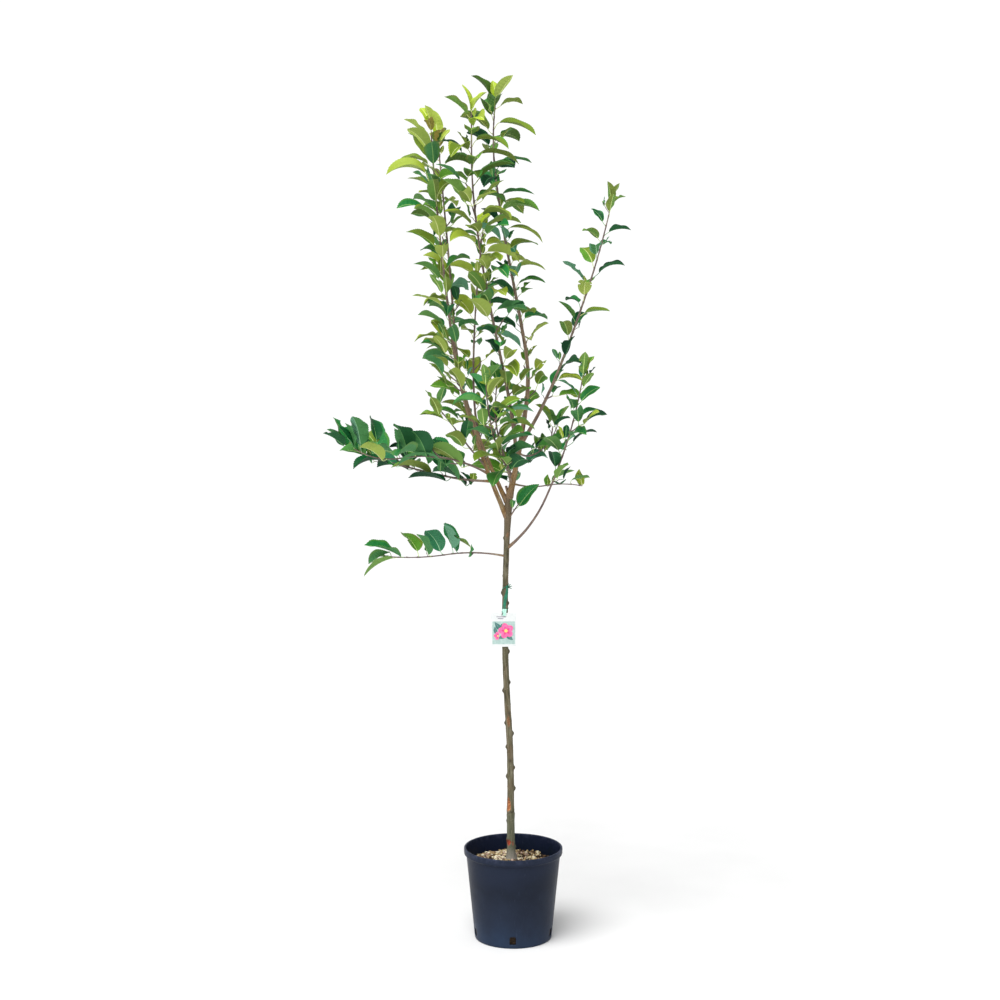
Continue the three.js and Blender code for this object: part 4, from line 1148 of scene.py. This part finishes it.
def tie_shape():
    """Ribbons up the trunk and round it, the loose ends of their knot, and the card's strap."""
    shape, t = Shape(), np.linspace(0, 1, 26)
    for number, (foot, top, width, thickness) in enumerate(RIBBONS):
        bearing = mix(foot[0], top[0], smoothstep(t, 0, 1)) + TIE.wander * np.sin(t * 9 + number)
        wrinkle = TIE.wrinkle * np.sin(t * (23 + 4 * number)) * np.sin(np.pi * t)
        lift = TIE.lift + TIE.layer * number + wrinkle
        points, out = round_trunk(mix(foot[1], top[1], t), bearing, lift)
        widths = width * (1 + TIE.uneven * np.sin(t * 14 + 2 * number))
        add_ribbon(shape, points, out, widths, thickness)
    bearing = np.linspace(0, TIE.band_end, 60)
    angle = np.radians(bearing)
    for number, (at, width, slant) in enumerate(BANDS_ROUND):
        distance = at + slant * np.cos(angle) + 2 * np.sin(2 * angle) + bearing / 120
        lift = TIE.lift + TIE.band_lift + TIE.band_layer * number + bearing / 500
        points, out = round_trunk(distance, bearing, lift)
        add_ribbon(shape, points, out, width, TIE.band_thickness)
    tail = np.linspace(0, 1, 10)[:, None]
    for distance, bearing, reach in TUFT:
        start, out = round_trunk(np.array([distance]), np.array([bearing]), TIE.tuft_lift)
        points = start + tail * reach + out * TIE.tuft_bow * np.sin(np.pi * tail)
        points = points - np.array(UP) * TIE.tuft_bow * tail**2
        add_ribbon(shape, points, TUFT_FACES, TIE.tuft_width * (1 - 0.5 * tail), TIE.tuft_thickness)
    add_strap(shape)
    return shape


def add_strap(shape):
    """The pale end of the tie folds down over the card's top edge, held by a dark pin."""
    middle = trunk.line(np.array([TIE_START]))[0][0]
    x, y, z = top = np.add((middle[0], CARD_LOW[1], middle[2]), STRAP.place)
    t = np.linspace(0, 1, 16)
    depth = y - STRAP.bow * np.sin(np.pi * t) + STRAP.rest * (1 - t)
    points = np.stack([x - t, depth, z - STRAP.length * t], -1)
    add_ribbon(shape, points, (0, -1, 0), STRAP.width - STRAP.taper * t, STRAP.thickness, PALE)
    way = np.array(PIN.way)
    centres = np.add(top, PIN.place) + np.linspace(-PIN.half, PIN.half, len(PIN.radii))[:, None] * way
    add_tube(shape, centres, way, AWAY, even(PIN.radii, 8), DARK)


CARD_LOW, CARD_HIGH = (np.array(corner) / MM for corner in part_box("label_card"))
CARD = Values(
    corner=4, inset=0.2, bow=2.2, sag=0.6, front=0.1, raised=0.25, step=0.05, thickness=0.8,
    panel=0.35, ink=0.3, thin_ink=0.2, panel_low=(4.5, 8), panel_high=(4.5, 26),
)
PANEL_LOW, PANEL_HIGH = CARD_LOW[[0, 2]] + CARD.panel_low, CARD_HIGH[[0, 2]] - CARD.panel_high
PANEL_WIDTH = PANEL_HIGH[0] - PANEL_LOW[0]
WHITE, PANEL, SPRIG, PETAL, BLUSH, LINE, EYE = range(7)
# The printed sprig: places and sizes as shares of the panel's width, from its lower left corner.
BLOSSOM = Values(centre=(0.6, 0.6), petal=0.19, petal_half=0.15, count=5, eye=0.075)
CLOSED = Values(centre=(0.24, 0.37), petal=0.1, petal_half=0.085, count=3, eye=0.04)
PETALS = Values(first=104, turn=72, out=0.82, blush_out=0.5, blush_long=0.5, blush_wide=0.3)
PRINT_LEAVES = [  # centre, length, half-width, bearing
    ((0.46, 0.34), 0.36, 0.1, 205), ((0.76, 0.3), 0.3, 0.1, -38), ((0.24, 0.8), 0.36, 0.11, 128),
    ((0.13, 0.62), 0.26, 0.08, 100), ((0.44, 0.84), 0.2, 0.07, 52),
]
BARS = [(12, 16, 46), (17.5, 20, 38)]  # distance under the card's top, start and end from its left


def card_face(x, z, lift):
    """A point on the gently bowed front of the card, raised by lift."""
    (left, front, bottom), (right, _, top) = CARD_LOW, CARD_HIGH
    share = (x - (left + right) / 2) / ((right - left) / 2)
    drop = (top - z) / (top - bottom)
    y = front + CARD.front + CARD.bow * share**2 * (0.3 + 0.7 * drop) + CARD.sag * drop**2
    return np.stack(np.broadcast_arrays(x, y - lift, z), -1)


def rounded(low, high, corner, steps=6, side_parts=10):
    """An outline with round corners, counter-clockwise in x and z, with points along its straight sides."""
    (x0, z0), (x1, z1) = np.add(low, corner), np.subtract(high, corner)
    centres = [(x1, z0), (x1, z1), (x0, z1), (x0, z0)]
    bends = [arc(centre, corner, 90 * i - 90, 90 * i, steps) for i, centre in enumerate(centres)]
    shares = np.arange(1, side_parts)[:, None] / side_parts
    outline = []
    for bend, after in zip(bends, bends[1:] + bends[:1]):
        outline += [*bend, *mix(np.array(bend[-1]), np.array(after[0]), shares)]
    return np.array(outline)


def add_patch(shape, outline, lift, thickness, place, rings=6):
    """A thin closed plate, bent like the card: rings of its outline shrink to the middle on both sides."""
    middle, shrink = outline.mean(0), np.linspace(1, 0, rings + 1)[:-1]
    shrink = np.append(shrink[::-1], shrink)[:, None]
    lifts = np.array([lift - thickness, lift])
    x, z = np.moveaxis((outline - middle) * shrink[..., None] + middle, -1, 0)
    points = card_face(x, z, np.repeat(lifts, rings)[:, None])
    add_rings(shape, points, card_face(*middle, lifts), place, shrink == 1)


def ellipse(centre, half_long, half_wide, bearing=0, point=0):
    """A printed oval whose long side points at a bearing; point sharpens its far end."""
    t = circle(28)
    across = half_wide * np.sin(t) * (1 - point * np.clip(np.cos(t), 0, 1))
    outline = np.stack(turned(half_long * np.cos(t), across, radians(bearing)), -1)
    return PANEL_LOW + PANEL_WIDTH * (outline + centre)


def add_flower(shape, flower):
    lift = 3 * CARD.raised
    for number in range(flower.count):
        bearing = PETALS.first + PETALS.turn * number
        way = flower.petal * np.array(turned(1, 0, radians(bearing)))
        half_long, half_wide = PETALS.blush_long * flower.petal, PETALS.blush_wide * flower.petal_half
        petal = ellipse(flower.centre + PETALS.out * way, flower.petal, flower.petal_half, bearing)
        blush = ellipse(flower.centre + PETALS.blush_out * way, half_long, half_wide, bearing)
        add_patch(shape, petal, lift + CARD.step * number, CARD.ink, PETAL)
        add_patch(shape, blush, lift + CARD.step * number + 0.08, CARD.thin_ink, BLUSH)
    add_patch(shape, ellipse(flower.centre, flower.eye, flower.eye), lift + 0.5, CARD.ink, EYE)


def card_shape():
    """A white card with a blossom, a bud and leaves printed on a panel, and two plain bars above it."""
    shape = Shape()
    sheet = rounded(CARD_LOW[[0, 2]] + CARD.inset, CARD_HIGH[[0, 2]] - CARD.inset, CARD.corner, 8)
    add_patch(shape, sheet, 0, CARD.thickness, WHITE, 14)
    add_patch(shape, rounded(PANEL_LOW, PANEL_HIGH, 2), CARD.raised, CARD.panel, PANEL, 10)
    for number, (spot, length, half_wide, bearing) in enumerate(PRINT_LEAVES):
        lift = 1.5 * CARD.raised + CARD.step * number
        blade = ellipse(spot, length / 1.6, half_wide, bearing, 0.7)
        rib = ellipse(spot, length / 1.9, 0.012, bearing)
        add_patch(shape, blade, lift, CARD.ink, SPRIG)
        add_patch(shape, rib, lift + 0.15, CARD.thin_ink, LINE, 3)
    add_flower(shape, BLOSSOM)
    add_flower(shape, CLOSED)
    for below, start, end in BARS:
        x, z = CARD_LOW[0], CARD_HIGH[2] - below
        bar = rounded((x + start, z - 1), (x + end, z + 1), 0.9, 3)
        add_patch(shape, bar, CARD.raised, CARD.ink, LINE, 3)
    return shape


# ---------------------------------------------------------------- materials


def linear(tint, gain=1):
    """A display colour such as 0x83982F as the shader's linear one, made lighter or darker by gain."""
    parts = [(tint >> shift & 255) / 255 for shift in (16, 8, 0)]
    parts = [c / 12.92 if c <= 0.04045 else ((c + 0.055) / 1.055) ** 2.4 for c in parts]
    return [min(1, gain * c) for c in parts] + [1]


class Nodes:
    """Short calls that add shader nodes to the tree of a material or the world. Each takes numbers, display
    colours or the outputs of other nodes, and gives an output."""

    def __init__(self, owner):
        owner.use_nodes = True
        self.owner, self.tree = owner, owner.node_tree

    def put(self, value, socket):
        if isinstance(value, bpy.types.NodeSocket):
            self.tree.links.new(value, socket)
        else:
            socket.default_value = linear(value) if socket.type == "RGBA" else value

    def node(self, kind, output, inputs=None, **settings):
        made = self.tree.nodes.new("ShaderNode" + kind)
        for name, value in settings.items():
            setattr(made, name, value)
        for name, value in (inputs or {}).items():
            self.put(value, made.inputs[name])
        return made.outputs[output]

    def field(self, name, output="Fac"):
        """One of the fields of the piece's mesh."""
        return self.node("Attribute", output, attribute_name=name)

    def height(self, place):
        return self.node("SeparateXYZ", "Z", {"Vector": place})

    def span(self, value, low, high, new_low=0, new_high=1):
        """Brings the values from low to high to another range."""
        ends = {"From Min": low, "From Max": high, "To Min": new_low, "To Max": new_high}
        return self.node("MapRange", "Result", {"Value": value, **ends})

    def vary(self, noise, low, high):
        return self.span(noise, 0.3, 0.7, low, high)

    def plus(self, one, two):
        return self.node("Math", 0, {0: one, 1: two}, operation="ADD")

    def times(self, one, two):
        return self.node("Math", 0, {0: one, 1: two}, operation="MULTIPLY")

    def ramp(self, value, *stops):
        """Colours at their spots from 0 to 1, each with a gain if it has one."""
        colour = self.node("ValToRGB", "Color", {"Fac": value})
        elements = colour.node.color_ramp.elements
        while len(elements) < len(stops):
            elements.new(0.5)
        for element, (spot, *tint) in zip(elements, stops):
            element.position = spot
            element.color = linear(*tint)
        return colour

    def layers(self, base, *coats):
        """Coats over a base, each with the share in which it covers."""
        for share, colour in coats:
            base = self.node("Mix", 2, {0: share, 6: base, 7: colour}, data_type="RGBA")
        return base


class Look(Nodes):
    """A material with a Principled shader. Its patterns lie in the piece's own place, or in a field of its
    mesh."""

    def __init__(self, name, gloss, field=None):
        super().__init__(bpy.data.materials.new(name))
        self.shader = self.tree.nodes["Principled BSDF"].inputs
        self.shader["Specular IOR Level"].default_value = gloss
        self.place = self.field(field, "Vector") if field else self.node("TexCoord", "Object")

    def stretched(self, along):
        """The place, drawn out along Z if along is less than 1."""
        if along == 1:
            return self.place
        return self.node("Mapping", "Vector", {"Vector": self.place, "Scale": (1, 1, along)})

    def noise(self, scale, detail=4, roughness=0.6, along=1):
        inputs = {"Vector": self.stretched(along), "Scale": scale, "Detail": detail, "Roughness": roughness}
        return self.node("TexNoise", "Fac", inputs)

    def cells(self, scale, feature="F1", along=1):
        inputs = {"Vector": self.stretched(along), "Scale": scale}
        return self.node("TexVoronoi", "Distance", inputs, feature=feature)

    def done(self, colour, roughness, relief=None, distance=0, strength=1):
        """Gives the material its colour, roughness and relief."""
        self.put(colour, self.shader["Base Color"])
        self.put(roughness, self.shader["Roughness"])
        if relief is not None:
            inputs = {"Height": relief, "Distance": distance, "Strength": strength}
            self.put(self.node("Bump", "Normal", inputs), self.shader["Normal"])
        return self.owner


def leaf_look(name, tint, low, high, veins):
    """One plain colour with a fine leathery grain: cells between small veins."""
    look = Look(name, 0.14)
    net = look.times(look.cells(520, "DISTANCE_TO_EDGE"), veins)
    roughness = look.vary(look.noise(60), low, high)
    return look.done(tint, roughness, look.plus(net, look.noise(900, 3)), 0.0004, 0.35)


def rib_look(name, tint):
    look = Look(name, 0.2)
    return look.done(tint, look.vary(look.noise(120), 0.4, 0.6), look.noise(1200), 0.0002, 0.4)


def leaf_looks():
    made = []
    for name, (top, under, rib, _) in TONES.items():
        made.append(leaf_look("leaf_top_" + name, top, 0.36, 0.5, 1.4))
        made.append(leaf_look("leaf_under_" + name, under, 0.55, 0.72, 2.2))
        made.append(rib_look("leaf_rib_" + name, rib))
    return made


def bark_grain(look):
    """What both barks share: streaks along the limb, small cracks, pale flecks, and the relief of them."""
    streaks, fine = look.noise(190, 6, 0.65, 0.13), look.noise(700, along=0.35)
    flecks = look.span(look.cells(95, along=2.1), 0.16, 0.1)
    return streaks, fine, flecks, look.plus(look.plus(streaks, fine), look.times(flecks, 0.5))


def trunk_look():
    """Grey bark with brown and green patches, pale at the soil and browner at the fork, and its wounds."""
    look = Look("trunk_bark", 0.3, "straight")
    streaks, fine, flecks, relief = bark_grain(look)
    distance, patches, torn = look.height(look.place), look.noise(34, 3, along=0.3), look.noise(220)
    green = look.times(look.span(distance, 0.15, 0.14), look.span(patches, 0.3, 0.6, 0.3, 0.8))
    pale = look.span(look.plus(distance, look.vary(fine, -0.012, 0.012)), 0.044, 0.016)
    fork = look.span(look.plus(distance, look.vary(patches, -0.05, 0.05)), 0.93, 1.07, 0, 0.65)
    healed = look.ramp(torn, (0.35, 0x6A3A22), (0.55, 0xB46A3A), (0.7, 0xDCAA7C))
    paint = look.ramp(torn, (0.35, 0x8A2A1C), (0.65, 0xCC4A30))
    wounds = look.layers(healed, (look.span(distance, 0.09, 0.07), paint))
    colour = look.layers(
        look.ramp(streaks, (0.3, 0x302C1E), (0.45, 0x56523C), (0.6, 0x706A56), (0.76, 0x8C8672)),
        (look.span(patches, 0.52, 0.68, 0, 0.55), 0x664A36),
        (green, 0x5E6552),
        (look.times(pale, 0.8), 0x8E8982),
        (fork, 0x786450),
        (look.times(flecks, 0.5), 0xB2AC96),
        (look.times(look.field("hurt"), 0.85), wounds),
        # Dark bud scars and graft line, with painted shade round the knobs.
        (look.times(look.field("scar"), 0.72), 0x2F281E),
    )
    return look.done(colour, look.vary(fine, 0.68, 0.9), relief, 0.0011, 0.7)


def bough_look():
    look = Look("bough_bark", 0.35, "straight")
    streaks, fine, flecks, relief = bark_grain(look)
    age = look.plus(look.field("age"), look.vary(streaks, -0.16, 0.16))
    colour = look.layers(
        look.ramp(age, (0, 0x6C5A5A), (0.2, 0x7E6A60), (0.4, 0x88705A), (0.7, 0x8A6838), (1, 0x988A6E)),
        (look.span(streaks, 0.52, 0.7, 0, 0.6), 0xB4A88E),
        (look.span(streaks, 0.47, 0.36, 0, 0.6), 0x44322A),
        (look.span(fine, 0.52, 0.7, 0, 0.55), 0x3A2C26),
        (look.times(flecks, 0.55), 0xC4B090),
    )
    return look.done(colour, look.vary(fine, 0.5, 0.75), relief, 0.0006, 0.6)


def pot_look(name, *painted_light_tints):
    """Navy plastic with the sheen of a moulded wall, faint scuffs, dust towards the rim, and tints by height
    that are painted light and shade.
    """
    look = Look(name, 0.08)
    height, cloud, scuffs = look.height(look.place), look.noise(9), look.noise(210, 5, 0.7, 0.06)
    level = look.span(look.plus(height, look.vary(cloud, -0.04, 0.04)), 0, 0.28)
    dust = look.times(look.span(height, 0.262, 0.279), look.span(look.noise(70), 0.45, 0.7))
    colour = look.layers(
        # The tints by height are painted light and shade.
        look.ramp(level, *zip((0, 0.3, 0.62, 0.92), painted_light_tints)),
        (look.span(scuffs, 0.62, 0.8, 0, 0.16), 0x6F7C99),
        (look.times(dust, 0.2), 0x6A7090),
    )
    roughness = look.span(look.plus(scuffs, cloud), 0.7, 1.4, 0.32, 0.52)
    relief = look.plus(look.noise(1500, 2), look.times(scuffs, 0.6))
    return look.done(colour, roughness, relief, 0.0002, 0.5)


def soil_look():
    look = Look("potting_mix", 0.2)
    lumps = look.noise(160, 6, 0.7)
    colour = look.ramp(lumps, (0.32, 0x0F0B08), (0.5, 0x2A1F15), (0.68, 0x54402A), (0.8, 0x7C6344))
    return look.done(colour, 0.92, look.plus(lumps, look.cells(240)), 0.0022)


GRANULE_TINTS = (0xC2B38E, 0xAA966E, 0xD2C8AE, 0x947C58, 0xB49A88, 0x624A32)


def granule_look(number, tint):
    look = Look(f"granule_{number}", 0.3)
    grit = look.noise(420)
    return look.done(look.ramp(grit, (0.3, tint, 0.5), (0.5, tint), (0.75, tint, 1.25)), 0.85, grit, 0.0007)


def tape_look(name, dark, light):
    """Thin stretched plastic: long streaks where it is drawn out."""
    look = Look(name, 0.5)
    streaks = look.noise(420, along=0.25)
    colour = look.ramp(streaks, (0.35, dark), (0.65, light))
    return look.done(colour, look.vary(streaks, 0.35, 0.5), streaks, 0.0004, 0.6)


def card_look(name, tint, shade):
    """Coated card or ink: a faint mottle and a fine tooth."""
    look = Look(name, 0.5)
    mottle = look.noise(130)
    colour = look.ramp(mottle, (0.3, shade), (0.7, tint))
    return look.done(colour, look.vary(mottle, 0.3, 0.42), look.noise(1800), 0.00008, 0.4)


# ---------------------------------------------------------------- assembly

trunk, shoots = grow_tree()
record_slot = {row["node"]: row["material_slot"] for row in frame["record"]["subparts"]}

add_piece("trunk_wood", trunk_shape(), [trunk_look()], ["trunk"], "trunk_bark")

bark = bough_look()
leaf_kinds = leaf_looks()
for shoot in shoots:
    limb_shape = Shape()
    add_limb(limb_shape, shoot)
    if shoot.name == "right":
        add_stub(limb_shape, shoot)
    mass, bough = "leaves_" + shoot.name, "bough_" + shoot.name
    add_piece("limb_" + shoot.name, limb_shape, [bark], [bough, mass], "bough_bark")
    add_piece("twigs_" + shoot.name, twigs_of(shoot), [bark], [mass], "bough_bark")
    add_piece("foliage_" + shoot.name, foliage(shoot), leaf_kinds, [mass], record_slot[mass])

plastics = [
    # Outside: lighter and bluer towards the foot, darker higher up, as painted light and shade.
    pot_look("pot_plastic", 0x263348, 0x222A3A, 0x1C222F, 0x202737),
    # The inside: the same plastic, darker as painted shade.
    pot_look("pot_inside", 0x0A1118, 0x0B141C, 0x0B151D, 0x12192C),
]
add_piece("pot_wall", pot_mesh(), plastics, ["pot"], "pot")
add_piece("potting_mix", soil_shape(), [soil_look()], ["soil"], "soil")
grits = [granule_look(number, tint) for number, tint in enumerate(GRANULE_TINTS)]
add_piece("granules", granules(), grits, ["soil"], "soil")
tapes = [
    tape_look("tie_green", 0x0E5E46, 0x1F8666),
    tape_look("tie_pale", 0x94DCC4, 0xCDEDE2),
    tape_look("pin_dark", 0x1E2A28, 0x39504A),
]
add_piece("tie_ribbons", tie_shape(), tapes, ["label_tie"], "label_tie")
inks = [
    card_look("card_white", 0xE2E5E4, 0xDADEDE), card_look("print_panel", 0xB8CEC9, 0x98B6B0),
    card_look("print_leaf", 0x2F6A62, 0x3E8378), card_look("print_petal", 0xF8508E, 0xFF7AB4),
    card_look("print_blush", 0xE02870, 0xF04A88), card_look("print_line", 0x6C6276, 0x8A8296),
    card_look("print_eye", 0xF4E08A, 0xE8C860),
]
add_piece("printed_card", card_shape(), inks, ["label_card"], "label_card")

# ---------------------------------------------------------------- stage

CAMERA = Values(place=(-0.0403, -5.0, 1.73), pitch=85.5, sensor=36, focal_px=1675, frame_px=1000)
FLOOR = Values(half=9.0, segments=24)
SKY = Values(ring=1.05, above=0.5, ring_top=0.24, above_foot=0.48)
SUN = Values(bearing=-122, height=58, spread=44, strength=3.2)


def make_floor():
    shape, count = Shape(), FLOOR.segments
    steps = np.linspace(-FLOOR.half, FLOOR.half, count) / MM
    points = np.stack([*np.meshgrid(steps, steps), np.zeros((count, count))], -1)
    shape.add(points, quads(np.arange(count**2).reshape(count, count)))
    floor = add_object("floor", shape.mesh("floor"))
    look = Look("studio_floor", 0.1)
    colour = look.ramp(look.noise(3, 2), (0.3, 0xE2E2E2), (0.7, 0xE6E6E6))
    floor.data.materials.append(look.done(colour, 0.9))


def make_camera():
    camera = add_object("camera", bpy.data.cameras.new("camera"))
    camera.data.sensor_width = CAMERA.sensor
    camera.data.lens = CAMERA.sensor * CAMERA.focal_px / CAMERA.frame_px
    camera.location = CAMERA.place
    camera.rotation_euler = (radians(CAMERA.pitch), 0, 0)
    bpy.context.scene.camera = camera


def make_lights():
    """A broad sun, and a white world that is darker above than at eye level."""
    light = add_object("key", bpy.data.lights.new("key", "SUN"))
    light.data.angle, light.data.energy = radians(SUN.spread), SUN.strength
    light.rotation_euler = (radians(90 - SUN.height), 0, radians(SUN.bearing + 90))
    world = bpy.data.worlds.new("studio")
    sky = Nodes(world)
    height = sky.height(sky.node("TexCoord", "Generated"))
    background = sky.tree.nodes["Background"].inputs
    sky.put(sky.span(height, SKY.ring_top, SKY.above_foot, SKY.ring, SKY.above), background["Strength"])
    background["Color"].default_value = (1, 1, 1, 1)
    bpy.context.scene.world = world
    bpy.context.scene.view_settings.view_transform = "Standard"


make_floor()
make_camera()
make_lights()
